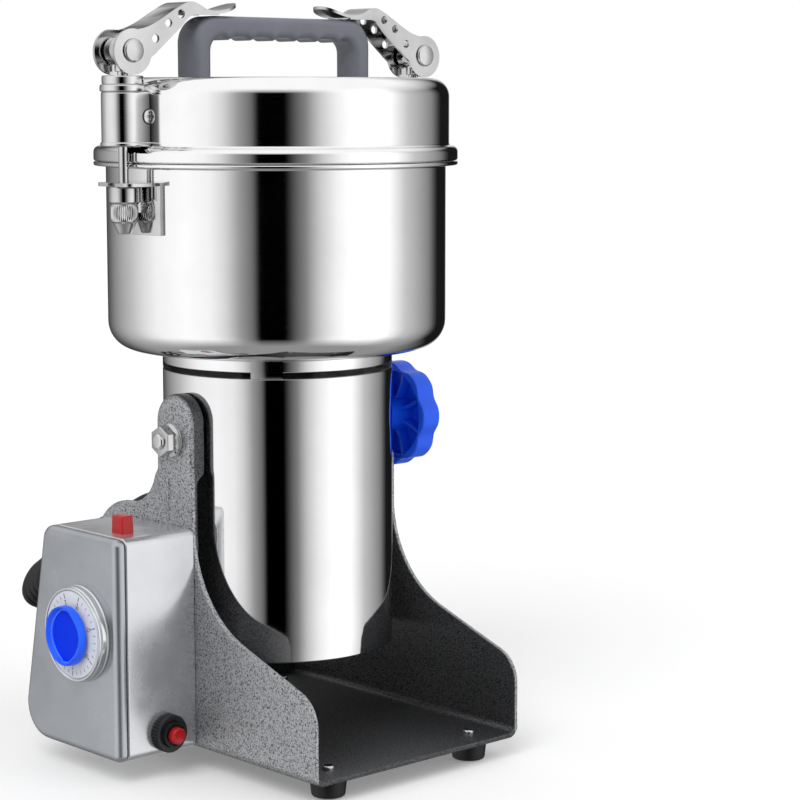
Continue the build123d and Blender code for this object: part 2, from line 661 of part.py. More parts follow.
FAN_Z = LOWER_PLATE_Z + LOWER_PLATE_T + FAN_AIR
with BuildPart() as cooling_fan:
    tube(FAN_Z, FAN_Z + FAN_BLADE_T, FAN_R)
    tube(FAN_Z, FAN_Z + FAN_H, FAN_HUB_R)
    with BuildSketch(TOP.offset(FAN_Z)):
        with PolarLocations((FAN_R + FAN_HUB_R) / 2, FAN_BLADES):
            Rectangle(FAN_R - FAN_HUB_R - 2 * FAN_EDGE, FAN_BLADE_T)
    extrude(amount=FAN_H)
    tube(FAN_Z, FAN_Z + FAN_H, SHAFT_R + SNUG, mode=Mode.SUBTRACT)
keep(cooling_fan, "cooling_fan")


with BuildPart() as lower_blade:
    with BuildSketch(TOP.offset(LOWER_BLADE_Z)):
        Circle(BLADE_ROOT)
        SlotOverall(2 * LOWER_BLADE_R, 2 * BLADE_TIP)
    extrude(amount=BLADE_T)
    chamfer(lower_blade.edges().filter_by(Axis.X).group_by(Axis.Z)[-1], BLADE_BEVEL)
    tube(LOWER_BLADE_Z, LOWER_BLADE_Z + BLADE_T, SHAFT_R + SNUG, mode=Mode.SUBTRACT)
keep(lower_blade, "lower_blade")

with BuildPart() as upper_blade:
    with BuildSketch(TOP.offset(UPPER_BLADE_Z)):
        Circle(BLADE_ROOT)
        SlotOverall(2 * UPPER_BLADE_R, 2 * BLADE_TIP, rotation=90)
    extrude(amount=BLADE_T)
    tube(UPPER_BLADE_Z, UPPER_BLADE_Z + BLADE_T, SHAFT_R + SNUG, mode=Mode.SUBTRACT)
keep(upper_blade, "upper_blade")

with BuildPart() as blade_spacer:
    tube(LOWER_BLADE_Z + BLADE_T, UPPER_BLADE_Z, HUB_R, SHAFT_R + SNUG)
keep(blade_spacer, "blade_spacer")

with BuildPart() as blade_nut:
    with BuildSketch(TOP.offset(BLADE_NUT_Z)):
        RegularPolygon(BLADE_NUT_AF / 2, 6, major_radius=False)
    extrude(amount=BLADE_NUT_H)
    tube(BLADE_NUT_Z, BLADE_NUT_Z + BLADE_NUT_H, SHAFT_R + SNUG, mode=Mode.SUBTRACT)
keep(blade_nut, "blade_nut")


# ================================================================ bowl and lid
with BuildPart() as bowl:
    tube(BOWL_Z0, RIM_Z, BOWL_R)
    fillet(bowl.edges().group_by(Axis.Z)[0], BOWL_CORNER)
    floor_plane = bowl.faces().sort_by(Axis.Z)[-1]
    offset(amount=-BOWL_WALL, openings=floor_plane)
    tube(RIM_Z - BOWL_LIP, RIM_Z, FLANGE_R, BOWL_R - BOWL_WALL)
    fillet(bowl.edges().filter_by(GeomType.CIRCLE).sort_by(SortBy.RADIUS)[-1], BOWL_LIP * LIP_SHARE)
    tube(BOWL_Z0, BOWL_FLOOR, SEAL_R + NECK_WALL + SNUG, mode=Mode.SUBTRACT)
keep(bowl, "bowl")

with BuildPart() as lid:
    tube(LID_Z0, LID_TOP, LID_R)
    tube(LID_Z0, LID_FLANGE_Z, FLANGE_R)
    fillet(lid.edges().group_by(Axis.Z)[-1], LID_CORNER)
    flange_edge = lid.edges().filter_by(GeomType.CIRCLE).filter_by(
        lambda e: e.radius > FLANGE_R - 1 and e.center().Z > LID_Z0 + 1)
    fillet(flange_edge, LID_FLANGE_ROUND)
    tube(LID_Z0, LID_TOP - LID_CORNER, LID_R - LID_WALL, mode=Mode.SUBTRACT)
    tube(LID_TOP - LID_CORNER, LID_TOP - LID_WALL, LID_R - LID_CORNER, mode=Mode.SUBTRACT)
    tube(LID_Z0, LID_Z0 + SEAL_H, SEAL_MID + SEAL_W / 2 + SNUG, SEAL_MID - SEAL_W / 2 - SNUG,
         mode=Mode.SUBTRACT)
    with BuildSketch(TOP.offset(LID_TOP)):
        with Locations((HANDLE_SCREW_X, 0), (-HANDLE_SCREW_X, 0)):
            Circle(HANDLE_SCREW_R + SNUG)
    extrude(amount=-2 * LID_CORNER, mode=Mode.SUBTRACT)
keep(lid, "lid")

with BuildPart() as lid_seal:
    tube(RIM_Z + SNUG, LID_Z0 + SEAL_H - SNUG, SEAL_MID + SEAL_W / 2, SEAL_MID - SEAL_W / 2)
keep(lid_seal, "lid_seal")

with BuildPart() as handle:
    with BuildSketch(FRONT.offset(-HANDLE_W / 2)) as bridge:
        with Locations((0, LID_TOP)):
            Rectangle(HANDLE_L, HANDLE_H, align=MIN_Y)
        fillet(bridge.vertices().group_by(Axis.Y)[-1], HANDLE_OUT_R)
        with Locations((0, LID_TOP)):
            Rectangle(HANDLE_L - 2 * HANDLE_LEG, GRIP_Z - LID_TOP, align=MIN_Y, mode=Mode.SUBTRACT)
        inner = bridge.vertices().filter_by(
            lambda v: abs(v.Y - GRIP_Z) < 0.01 and abs(v.X) < HANDLE_L / 2 - 1)
        fillet(inner, HANDLE_IN_R)
        with Locations(*(((i - (FINGERS - 1) / 2) * FINGER_PITCH, GRIP_Z + FINGER_DEPTH - FINGER_R)
                         for i in range(FINGERS))):
            Circle(FINGER_R, mode=Mode.SUBTRACT)
    extrude(amount=HANDLE_W)
    crown = handle.faces().filter_by(Axis.Y)
    fillet(crown.edges().filter_by(lambda e: e.center().Z > GRIP_Z + FINGER_DEPTH + 1), HANDLE_ROUND)
    with BuildSketch(TOP.offset(LID_TOP)):
        with Locations((HANDLE_SCREW_X, 0), (-HANDLE_SCREW_X, 0)):
            Circle(HANDLE_SCREW_R + SNUG)
    extrude(amount=HANDLE_H / 2, mode=Mode.SUBTRACT)
keep(handle, "handle")

with BuildPart() as handle_screws:
    with BuildSketch(TOP.offset(LID_TOP - LID_WALL)):
        with Locations((HANDLE_SCREW_X, 0), (-HANDLE_SCREW_X, 0)):
            Circle(HANDLE_HEAD_R)
    extrude(amount=-HANDLE_HEAD_T)
    with BuildSketch(TOP.offset(LID_TOP - LID_WALL)):
        with Locations((HANDLE_SCREW_X, 0), (-HANDLE_SCREW_X, 0)):
            Circle(HANDLE_SCREW_R)
    extrude(amount=HANDLE_H / 2 + LID_WALL - HANDLE_SCREW_AIR)
keep(handle_screws, "handle_screws")


# ================================================================ latches
def side_words():
    """The two latches: which way they face and what they are called."""
    return ((-1, "left"), (1, "right"))


def rod_tube(side, z0, z1, r_out, r_in=0.0, mode=Mode.ADD):
    """An upright ring or disc about the latch rod's axis."""
    with BuildSketch(TOP.offset(z0)) as ring:
        with Locations((side * LATCH_X, 0)):
            Circle(r_out)
            if r_in:
                Circle(r_in, mode=Mode.SUBTRACT)
    extrude(ring.sketch, amount=z1 - z0, mode=mode)


def lever_points(side, shares, drop=0.0):
    """Points of the lever's side view. Each share is (along, up, over): along the lever's length
    from the pin, up in radii of the cam, and 1 if the height counts from the handle's top."""
    return [(side * (LATCH_X - along * LEVER_LENGTH),
             PIN_Z + up * CAM_R + over * LEVER_REST - drop) for along, up, over in shares]


def lever_web(side):
    """Side view of the lever: the cam round the pin, the rising arm and the thumb tab's root."""
    under = lever_points(side, [(0.025, -0.5, 0), (0.25, 0.155, 0), (0.46, 1.27, 0), (0.58, 0, 1)])
    over = lever_points(side, [(0.0, 0.5, 0), (0.1, 0.89, 0), (0.24, 1.36, 0), (0.415, 0.325, 1),
                               (0.54, 0.56, 1), (0.655, 0.28, 1), (0.78, 0.2, 1)])
    rest = lever_points(side, [(0.78, 0, 1)])[0]
    with BuildSketch(FRONT.offset(-LEVER_HALF)) as web:
        with Locations((side * LATCH_X, PIN_Z - CAM_OFFSET)):
            Circle(CAM_R)
        with BuildLine():
            Spline(*under, tangents=((-side, 0), (-side, 0)))
            Line(under[-1], rest)
            Line(rest, over[-1])
            Spline(*over)
            Line(over[0], under[0])
        make_face()
        with Locations(*((side * (LATCH_X + x), PIN_Z + z) for x, z in LEVER_HOLES)):
            Circle(LEVER_HOLE_R, mode=Mode.SUBTRACT)
    return web.sketch


def lever_top(side, thick):
    """Side view of the sheet that joins the two webs and ends as the upturned thumb tab."""
    crest = [(0.05, 0.93, 0), (0.24, 1.36, 0), (0.415, 0.325, 1), (0.54, 0.56, 1),
             (0.655, 0.28, 1), (0.78, 0.2, 1), (0.895, 0.36, 1), (0.995, 0.59, 1)]
    with BuildSketch(FRONT.offset(-LEVER_HALF)) as sheet:
        with BuildLine():
            upper = Spline(*lever_points(side, crest))
            lower = Spline(*lever_points(side, crest, thick))
            Line(upper @ 0, lower @ 0)
            Line(upper @ 1, lower @ 1)
        make_face()
    return sheet.sketch


for side, word in side_words():
    with BuildPart() as block:
        with BuildSketch(TOP.offset(BLOCK_Z0)):
            with Locations((side * LATCH_X, 0)):
                Circle(BLOCK_R)
            with Locations((side * (LATCH_X + LID_R - BLOCK_R) / 2, 0)):
                Rectangle(LATCH_X - LID_R + BLOCK_R, 2 * BLOCK_R)
        extrude(amount=BLOCK_H)
        chamfer(block.edges().group_by(Axis.Z)[0], BLOCK_BEVEL)
        rod_tube(side, BLOCK_Z1, CAP_Z, CAP_R)
        rod_tube(side, CAP_Z, THRUST_Z, THRUST_R)
        tube(BLOCK_Z0, THRUST_Z, LID_R + SNUG, mode=Mode.SUBTRACT)
        rod_tube(side, BLOCK_Z0, THRUST_Z, ROD_R + RUN, mode=Mode.SUBTRACT)
    keep(block, f"latch_block_{word}")

    with BuildPart() as rod:
        rod_tube(side, NUT_Z0 + NUT_TIP_H, PIN_Z - EYE_R / 2, ROD_R)
        rod_tube(side, THRUST_Z + NECK_LIFT, PIN_Z, NECK_ROD_R)
        with BuildSketch(FRONT.offset(-EYE_HALF)):
            with Locations((side * LATCH_X, PIN_Z)):
                Circle(EYE_R)
        extrude(amount=2 * EYE_HALF)
        with BuildSketch(FRONT.offset(-EYE_HALF)):
            with Locations((side * LATCH_X, PIN_Z)):
                Circle(PIN_R + SNUG)
        extrude(amount=2 * EYE_HALF, mode=Mode.SUBTRACT)
    keep(rod, f"latch_rod_{word}")

    with BuildPart() as pin:
        reach = LEVER_HALF + AIR
        with BuildSketch(FRONT.offset(-reach)):
            with Locations((side * LATCH_X, PIN_Z)):
                Circle(PIN_R)
        extrude(amount=2 * reach)
        for face in (-1, 1):
            with BuildSketch(FRONT.offset(face * reach)):
                with Locations((side * LATCH_X, PIN_Z)):
                    Circle(PIN_HEAD_R)
            extrude(amount=face * PIN_HEAD_T)
        rims = pin.edges().filter_by(GeomType.CIRCLE).group_by(Axis.Y)
        fillet(rims[0] + rims[-1], PIN_HEAD_ROUND)
    keep(pin, f"latch_pin_{word}")

    with BuildPart() as lever:
        extrude(lever_web(side), amount=2 * LEVER_HALF)
        with BuildSketch(FRONT.offset(-LEVER_HALF + LEVER_SHEET)):
            with Locations((0, PIN_Z - 2 * CAM_R)):
                Rectangle(3 * LATCH_X, 6 * CAM_R, align=MIN_Y)
        extrude(amount=2 * (LEVER_HALF - LEVER_SHEET), mode=Mode.SUBTRACT)
        extrude(lever_top(side, LEVER_SHEET), amount=2 * LEVER_HALF)
        with BuildSketch(TOP.offset(PIN_Z)):
            with Locations((side * (LATCH_X - LEVER_LENGTH / 2 + CAM_R), 0)):
                SlotOverall(LEVER_LENGTH + 2 * CAM_R, 2 * LEVER_HALF)
        extrude(amount=4 * CAM_R, both=True, mode=Mode.INTERSECT)
        with BuildSketch(FRONT.offset(-LEVER_HALF)):
            with Locations((side * LATCH_X, PIN_Z)):
                Circle(PIN_R + RUN)
        extrude(amount=2 * LEVER_HALF, mode=Mode.SUBTRACT)
    keep(lever, f"latch_lever_{word}")

    with BuildPart() as nut:
        rod_tube(side, NUT_Z1 - NUT_FLARE_H, NUT_Z1, NUT_FLARE_R)
        chamfer(nut.edges().group_by(Axis.Z)[0], NUT_BEVEL)
        rod_tube(side, NUT_Z0 + NUT_TIP_H, NUT_Z1, NUT_BODY_R)
        with BuildSketch(TOP.offset(NUT_Z0 + NUT_TIP_H)) as tip:
            with Locations((side * LATCH_X, 0)):
                Circle(NUT_BODY_R - NUT_STEP)
        extrude(tip.sketch, amount=-NUT_TIP_H, taper=NUT_TAPER)
        rod_tube(side, NUT_Z0 + NUT_TIP_H, NUT_Z1, ROD_R + SNUG, mode=Mode.SUBTRACT)
    keep(nut, f"thimble_nut_{word}")

    with BuildPart() as bracket:
        with BuildSketch(TOP.offset(TONGUE_Z0)) as tongue:
            with Locations((side * (LATCH_X + TONGUE_REACH) / 2, 0)):
                Rectangle(LATCH_X + TONGUE_REACH, 2 * TONGUE_HALF)
            far = tongue.vertices().filter_by(lambda v: v.X * side > LATCH_X)
            fillet(far, TONGUE_CORNER)
            with Locations((side * (LATCH_X + TONGUE_REACH), 0)):
                Rectangle(2 * TONGUE_REACH, 2 * NOTCH_R, mode=Mode.SUBTRACT)
            with Locations((side * LATCH_X, 0)):
                Circle(NOTCH_R, mode=Mode.SUBTRACT)
        extrude(amount=TONGUE_T)
        with BuildSketch(TOP.offset(TONGUE_Z1 - PLATE_H)):
            Circle(BOWL_R + SNUG + PLATE_T)
            with Locations((side * -PLATE_HALF, 0)):
                Rectangle(2 * BOWL_R, 3 * BOWL_R, mode=Mode.SUBTRACT)
        extrude(amount=PLATE_H)
        with BuildSketch(TOP.offset(TONGUE_Z1 - PLATE_H)):
            Rectangle(3 * BOWL_R, 2 * PLATE_HALF)
        extrude(amount=PLATE_H, mode=Mode.INTERSECT)
        with BuildSketch(TOP.offset(TONGUE_Z0 - WINDOW_H)):
            with Locations((side * BOWL_R, 0)):
                Rectangle(2 * PLATE_HALF, 2 * WINDOW_HALF)
        extrude(amount=WINDOW_H, mode=Mode.SUBTRACT)
        tube(TONGUE_Z1 - PLATE_H, TONGUE_Z1, BOWL_R + SNUG, mode=Mode.SUBTRACT)
    keep(bracket, f"latch_bracket_{word}")


# ================================================================ tilt pivot hardware
with BuildPart() as pivot_studs:
    for side, outer in ((-1, NUT_T + STUD_TIP), (1, KNOB_REACH + KNOB_T / 2)):
        inner = SHELL_IN - STUD_HEAD_AIR
        cross_tube(side * (inner - STUD_HEAD_T), side * inner, (0, PIVOT_Z), STUD_HEAD_R)
        cross_tube(side * inner, side * (OUTER_X + WASHER_T + outer), (0, PIVOT_Z), STUD_R)
keep(pivot_studs, "pivot_studs")

with BuildPart() as pivot_washers:
    for side in (-1, 1):
        cross_tube(side * (OUTER_X + SNUG), side * (OUTER_X + SNUG + WASHER_T), (0, PIVOT_Z),
                   WASHER_R, STUD_R + SNUG)
keep(pivot_washers, "pivot_washers")

with BuildPart() as pivot_nut:
    start = OUTER_X + SNUG + WASHER_T + SNUG
    cross_tube(-start, -(start + NUT_FLANGE_T), (0, PIVOT_Z), NUT_FLANGE_R)
    with BuildSketch(SIDE.offset(start)):
        with Locations((0, PIVOT_Z)):
            RegularPolygon(NUT_AF / 2, 6, major_radius=False)
    extrude(amount=NUT_T)
    cross_tube(-start, -(start + NUT_T), (0, PIVOT_Z), STUD_R + SNUG, mode=Mode.SUBTRACT)
keep(pivot_nut, "pivot_nut")

with BuildPart() as lock_knob:
    with BuildSketch(SIDE.offset(-KNOB_X0)):
        with Locations((0, PIVOT_Z)):
            Circle(KNOB_R)
            with PolarLocations(KNOB_R + FLUTE_R - FLUTE_DEPTH, KNOB_LOBES):
                Circle(FLUTE_R, mode=Mode.SUBTRACT)
    extrude(amount=-KNOB_T)
    fillet(lock_knob.edges().filter_by(Axis.X), KNOB_LOBE_ROUND)
    fillet(lock_knob.edges().group_by(Axis.X)[-1], KNOB_EDGE)
    cross_tube(KNOB_X0, KNOB_X1 - KNOB_FACE, (0, PIVOT_Z), KNOB_R - FLUTE_DEPTH - KNOB_WALL,
               mode=Mode.SUBTRACT)
    with BuildSketch(SIDE.offset(-(KNOB_X0 + KNOB_RIB_DROP))):
        with Locations((0, PIVOT_Z)):
            with PolarLocations(KNOB_R / 2, KNOB_LOBES):
                Rectangle(KNOB_R - FLUTE_DEPTH - KNOB_WALL + KNOB_LAP, KNOB_RIB)
    extrude(amount=-(KNOB_T - KNOB_RIB_DROP - KNOB_LAP))
    cross_tube(OUTER_X + SNUG + WASHER_T + AIR, KNOB_X1 - KNOB_LAP, (0, PIVOT_Z), KNOB_HUB_R)
    cross_tube(OUTER_X, KNOB_X0 + KNOB_T / 2 + KNOB_LAP, (0, PIVOT_Z), STUD_R + RUN, mode=Mode.SUBTRACT)
keep(lock_knob, "lock_knob")


# ================================================================ control box
def box_outline(inset=0.0):
    """Face of the control box seen from the left, shrunk evenly by the inset."""
    corners = (
        ((BOX_FRONT, BOX_BOTTOM), BOX_FRONT_R),
        ((BOX_FRONT, BOX_TOP), BOX_FRONT_R),
        ((-BOX_REAR_TOP, BOX_TOP), BOX_TOP_R),
        ((-BOX_REAR, BOX_BOTTOM), BOX_REAR_R),
    )
    with BuildSketch(SIDE) as face:
        with BuildLine():
            Polyline(*(corner for corner, _ in corners), close=True)
        make_face()
        for corner, radius in corners:
            fillet(face.vertices().sort_by_distance(corner + (0,))[0], radius)
        if inset:
            offset(amount=-inset, mode=Mode.REPLACE)
    return face.sketch


def box_slab(x0, x1, inset=0.0, mode=Mode.ADD):
    """The box's outline as a slab between two distances out from the bowl's axis."""
    extrude(SIDE.offset(x0).location * (SIDE.location.inverse() * box_outline(inset)),
            amount=x1 - x0, mode=mode)


with BuildPart() as control_box:
    box_slab(BOX_X0 + SNUG, BOX_X1)
    box_slab(BOX_X0 + SNUG, COVER_X0 + COVER_T / 2, RIM_IN)
    box_slab(BOX_X0 + BOX_WALL, COVER_X0 + COVER_T / 2, RIM_IN + BOX_WALL, mode=Mode.SUBTRACT)
    cross_tube(-BOX_X0, -(BOX_X0 + 2 * BOX_WALL), (0, WIRE_HOLE_Z), WIRE_HOLE_R, mode=Mode.SUBTRACT)
    with BuildSketch(TOP.offset(BOX_TOP - 3 * BOX_WALL)):
        with Locations((-BUTTON_OUT, 0)):
            Rectangle(BUTTON_X + 2 * AIR, BUTTON_Y + 2 * AIR)
    extrude(amount=4 * BOX_WALL, mode=Mode.SUBTRACT)
    with BuildSketch(FRONT.offset(BOX_FRONT - 3 * BOX_WALL)):
        with Locations((-BREAKER_OUT, BREAKER_Z)):
            Circle(BREAKER_BUSH_R + SNUG)
    extrude(amount=4 * BOX_WALL, mode=Mode.SUBTRACT)
    with BuildSketch(GLAND_PLANE.offset(-3 * BOX_WALL)):
        Circle(GLAND_R - GLAND_STEP + SNUG)
    extrude(amount=4 * BOX_WALL, mode=Mode.SUBTRACT)
keep(control_box, "control_box")

with BuildPart() as control_cover:
    box_slab(COVER_X0, COVER_X1)
    fillet(control_cover.faces().sort_by(Axis.X)[0].edges(), COVER_ROUND)
    box_slab(COVER_X0, COVER_X1 - BOX_WALL, BOX_WALL, mode=Mode.SUBTRACT)
    cross_tube(-COVER_X0, -COVER_X1, (-TIMER_BACK, TIMER_Z), TIMER_SHAFT_R + SHAFT_HOLE_AIR,
               mode=Mode.SUBTRACT)
keep(control_cover, "control_cover")

with BuildPart() as timer_bezel:
    at = (-TIMER_BACK, TIMER_Z)
    cross_tube(-(COVER_X1 + SNUG), -(COVER_X1 + BEZEL_T), at, BEZEL_R)
    fillet(timer_bezel.edges().group_by(Axis.X)[0], BEZEL_EDGE)
    cross_tube(-(COVER_X1 + BEZEL_T - DIAL_RECESS), -(COVER_X1 + BEZEL_T), at, BEZEL_R - BEZEL_LIP,
               mode=Mode.SUBTRACT)
    cross_tube(-COVER_X1, -(COVER_X1 + BEZEL_T), at, TIMER_SHAFT_R + SHAFT_HOLE_AIR, mode=Mode.SUBTRACT)
keep(timer_bezel, "timer_bezel")

with BuildPart() as timer_dial:
    cross_tube(-(DIAL_X + SNUG), -(DIAL_X + DIAL_T), at, BEZEL_R - BEZEL_LIP - SNUG,
               TIMER_SHAFT_R + SHAFT_HOLE_AIR)
keep(timer_dial, "timer_dial")

with BuildPart() as timer_body:
    with BuildSketch(SIDE.offset(COVER_X1 - BOX_WALL - SNUG)):
        with Locations(at):
            RectangleRounded(TIMER_BODY, TIMER_BODY, TIMER_BODY_ROUND)
    extrude(amount=-TIMER_BODY_D)
    cross_tube(-(COVER_X1 - BOX_WALL - TIMER_SHAFT_IN - SHAFT_END_AIR), -COVER_X1, at,
               TIMER_SHAFT_R + RUN, mode=Mode.SUBTRACT)
keep(timer_body, "timer_body")

with BuildPart() as timer_knob:
    cross_tube(-TIMER_KNOB_X0, -(TIMER_KNOB_X0 + TIMER_SKIRT), at, TIMER_KNOB_R)
    fillet(timer_knob.edges().group_by(Axis.X)[0], KNOB_SKIRT_EDGE)
    with BuildSketch(SIDE.offset(TIMER_KNOB_X0 + TIMER_SKIRT - GRIP_LAP)):
        tip, root = (at[0], at[1] + TIMER_GRIP_L), (at[0], at[1] - TIMER_GRIP_L)
        with BuildLine():
            ThreePointArc(root, (at[0] + TIMER_GRIP_W, at[1]), tip)
            ThreePointArc(tip, (at[0] - TIMER_GRIP_W, at[1]), root)
        make_face()
    extrude(amount=TIMER_GRIP_H + GRIP_LAP)
    fillet(timer_knob.edges().group_by(Axis.X)[0], KNOB_GRIP_EDGE)
    cross_tube(-(COVER_X1 - BOX_WALL - TIMER_SHAFT_IN), -(TIMER_KNOB_X0 + SHAFT_END_AIR), at, TIMER_SHAFT_R)
keep(timer_knob, "timer_knob")

with BuildPart() as power_button:
    with BuildSketch(TOP.offset(BOX_TOP - SWITCH_DEEP)):
        with Locations((-BUTTON_OUT, 0)):
            Rectangle(BUTTON_X, BUTTON_Y)
    extrude(amount=SWITCH_DEEP + BUTTON_H)
    fillet(power_button.edges().filter_by(Axis.Z), BUTTON_ROUND)
    fillet(power_button.edges().group_by(Axis.Z)[-1], BUTTON_EDGE)
keep(power_button, "power_button")

with BuildPart() as switch_body:
    with BuildSketch(TOP.offset(BOX_TOP - BOX_WALL - RIM_IN - SNUG)):
        with Locations((-BUTTON_OUT, 0)):
            Rectangle(SWITCH_S, SWITCH_S)
    extrude(amount=-SWITCH_H)
    with BuildSketch(TOP.offset(BOX_TOP)):
        with Locations((-BUTTON_OUT, 0)):
            Rectangle(BUTTON_X + 2 * AIR, BUTTON_Y + 2 * AIR)
    extrude(amount=-(SWITCH_DEEP + BUTTON_TRAVEL + AIR), mode=Mode.SUBTRACT)
keep(switch_body, "switch_body")


def breaker_tube(d0, d1, r_out, r_in=0.0, mode=Mode.ADD):
    """A ring or disc about the reset button's axis, from d0 to d1 in front of the bowl's axis."""
    with BuildSketch(FRONT.offset(d0)) as ring:
        with Locations((-BREAKER_OUT, BREAKER_Z)):
            Circle(r_out)
            if r_in:
                Circle(r_in, mode=Mode.SUBTRACT)
    extrude(ring.sketch, amount=d1 - d0, mode=mode)


with BuildPart() as breaker_body:
    with BuildSketch(FRONT.offset(BOX_FRONT - BOX_WALL - RIM_IN - SNUG)):
        with Locations((-BREAKER_OUT, BREAKER_Z)):
            Rectangle(BREAKER_BODY, BREAKER_BODY)
    extrude(amount=-BREAKER_BODY_L)
    breaker_tube(BOX_FRONT - 3 * BOX_WALL, BOX_FRONT + BREAKER_BUSH_L, BREAKER_BUSH_R)
    breaker_tube(BOX_FRONT - BREAKER_BODY, BOX_FRONT + BREAKER_BUSH_L, BREAKER_BUTTON_R + RUN,
                 mode=Mode.SUBTRACT)
keep(breaker_body, "breaker_body")

with BuildPart() as breaker_nut:
    breaker_tube(BOX_FRONT + SNUG, BOX_FRONT + SNUG + BREAKER_NUT_T, BREAKER_NUT_R)
    with BuildSketch(FRONT.offset(BOX_FRONT)):
        with Locations((-BREAKER_OUT, BREAKER_Z)):
            with PolarLocations(BREAKER_NUT_R + KNURL_OUT, KNURLS):
                Circle(KNURL_R, mode=Mode.ADD)
    extrude(amount=2 * BREAKER_NUT_T, mode=Mode.SUBTRACT)
    breaker_tube(BOX_FRONT, BOX_FRONT + BREAKER_BUSH_L, BREAKER_BUSH_R + SNUG, mode=Mode.SUBTRACT)
keep(breaker_nut, "breaker_nut")

with BuildPart() as reset_button:
    breaker_tube(BOX_FRONT - BREAKER_BODY + BREAKER_TRAVEL + SHAFT_END_AIR,
                 BOX_FRONT + BREAKER_BUSH_L + BREAKER_BUTTON_OUT, BREAKER_BUTTON_R)
    fillet(reset_button.edges().group_by(Axis.Y)[0], BREAKER_BUTTON_EDGE)
keep(reset_button, "reset_button")


# ================================================================ power cord
with BuildPart() as cord_gland:
    with BuildSketch(GLAND_PLANE.offset(SNUG)):
        Circle(GLAND_R + GLAND_STEP)
    extrude(amount=GLAND_FLANGE_T)
    with BuildSketch(GLAND_PLANE.offset(SNUG)):
        Circle(GLAND_R)
    extrude(amount=GLAND_L, taper=GLAND_TAPER)
    with BuildSketch(GLAND_PLANE.offset(SNUG)):
        Circle(GLAND_R - GLAND_STEP)
    extrude(amount=-GLAND_L)
keep(cord_gland, "cord_gland")

HANK = Plane(origin=(AXIS_X + HANK_CENTRE[0], AXIS_Y + HANK_CENTRE[1], HANK_CENTRE[2]),
             x_dir=HANK_AXIS, z_dir=HANK_FACE)
HANK_T = HANK_LOOPS * 2 * CORD_R
HANK_NORMAL = Axis(HANK.origin, HANK.z_dir)
with BuildPart() as cord_hank:
    with BuildSketch(HANK.offset(-HANK_T / 2)):
        SlotOverall(HANK_RUN + HANK_W, HANK_W)
    extrude(amount=HANK_T)
    for skin in (0, -1):
        fillet(cord_hank.faces().sort_by(HANK_NORMAL)[skin].edges(), CORD_R)
keep(cord_hank, "cord_hank")

with BuildPart() as cord_tie:
    with BuildSketch(Plane(origin=HANK.origin - HANK.x_dir * TIE_W / 2, x_dir=HANK.y_dir,
                           z_dir=HANK.x_dir)):
        RectangleRounded(HANK_W + 2 * TIE_T, HANK_T + 2 * TIE_T, CORD_R + TIE_T)
        RectangleRounded(HANK_W + 2 * SNUG, HANK_T + 2 * SNUG, CORD_R, mode=Mode.SUBTRACT)
    extrude(amount=TIE_W)
keep(cord_tie, "cord_tie")

# The lead bends once on its way into the hank; the tail drops behind the base to the plug.
LEAD_START = GLAND_PLANE.origin + GLAND_PLANE.z_dir * (GLAND_L + 2 * SNUG)
LEAD_CORNER = LEAD_START + GLAND_PLANE.z_dir * STUB_L
LEAD_END = HANK.origin - HANK.x_dir * LEAD_IN
TAIL_BACK = HANK_CENTRE[1] + (-TAIL_OUT - HANK_CENTRE[0]) * HANK_AXIS[1] / HANK_AXIS[0]
TAIL_TOP = TAIL_DROP + TAIL_BEND + PLUG_R
tail_points = [(-TAIL_OUT, TAIL_TOP), (-TAIL_OUT, PLUG_R), (-TAIL_OUT + TAIL_BEND + TAIL_FLAT, PLUG_R)]
print(f"cord: diameter {2 * CORD_R}, bend radii {LEAD_BEND}, {TAIL_BEND}")
with BuildPart() as power_cord:
    with BuildLine():
        FilletPolyline(LEAD_START, LEAD_CORNER, LEAD_END, radius=LEAD_BEND)
    with BuildSketch(Plane(origin=LEAD_START, z_dir=GLAND_PLANE.z_dir)):
        Circle(CORD_R)
    sweep()
    with BuildLine(FRONT.offset(-TAIL_BACK)):
        FilletPolyline(*tail_points, radius=TAIL_BEND)
    with BuildSketch(TOP.offset(TAIL_TOP)):
        with Locations((-TAIL_OUT, TAIL_BACK)):
            Circle(CORD_R)
    sweep()
keep(power_cord, "power_cord")

PLUG_X = -TAIL_OUT + TAIL_BEND + TAIL_FLAT
with BuildPart() as plug:
    def plug_tube(x0, x1, r_out, taper=0.0, shift=0.0):
        """A round piece of the plug along X."""
        with BuildSketch(SIDE.offset(-x0)) as disc:
            with Locations((-TAIL_BACK + shift, PLUG_R)):
                Circle(r_out)
        extrude(disc.sketch, amount=x0 - x1, taper=taper)

    plug_tube(PLUG_X + PLUG_NECK_L + PLUG_NECK_LAP, PLUG_X, PLUG_NECK_R, taper=-PLUG_NECK_TAPER)
    plug_tube(PLUG_X + PLUG_NECK_L, PLUG_X + PLUG_NECK_L + PLUG_L, PLUG_R)
    fillet(plug.edges().group_by(Axis.X)[-1], PLUG_EDGE)
    for shift in (-PIN_PITCH / 2, PIN_PITCH / 2):
        plug_tube(PLUG_X + PLUG_NECK_L + PLUG_L, PLUG_X + PLUG_NECK_L + PLUG_L + PIN_LENGTH,
                  PIN_ROUND_R, shift=shift)
keep(plug, "plug")
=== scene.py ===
"""The looks of a swing-type grain mill: polished steel bowl and motor pod, hammered grey base,
silver control box, blue knobs and plated over-centre latches.

Shapes are worked out in millimetres about the bowl's axis, with z up from the table, and are put
in place by the box of the bowl. Front is -Y, the control box is on -X.
"""

import math

import bmesh
import bpy
import numpy as np
from mathutils import Matrix, Vector


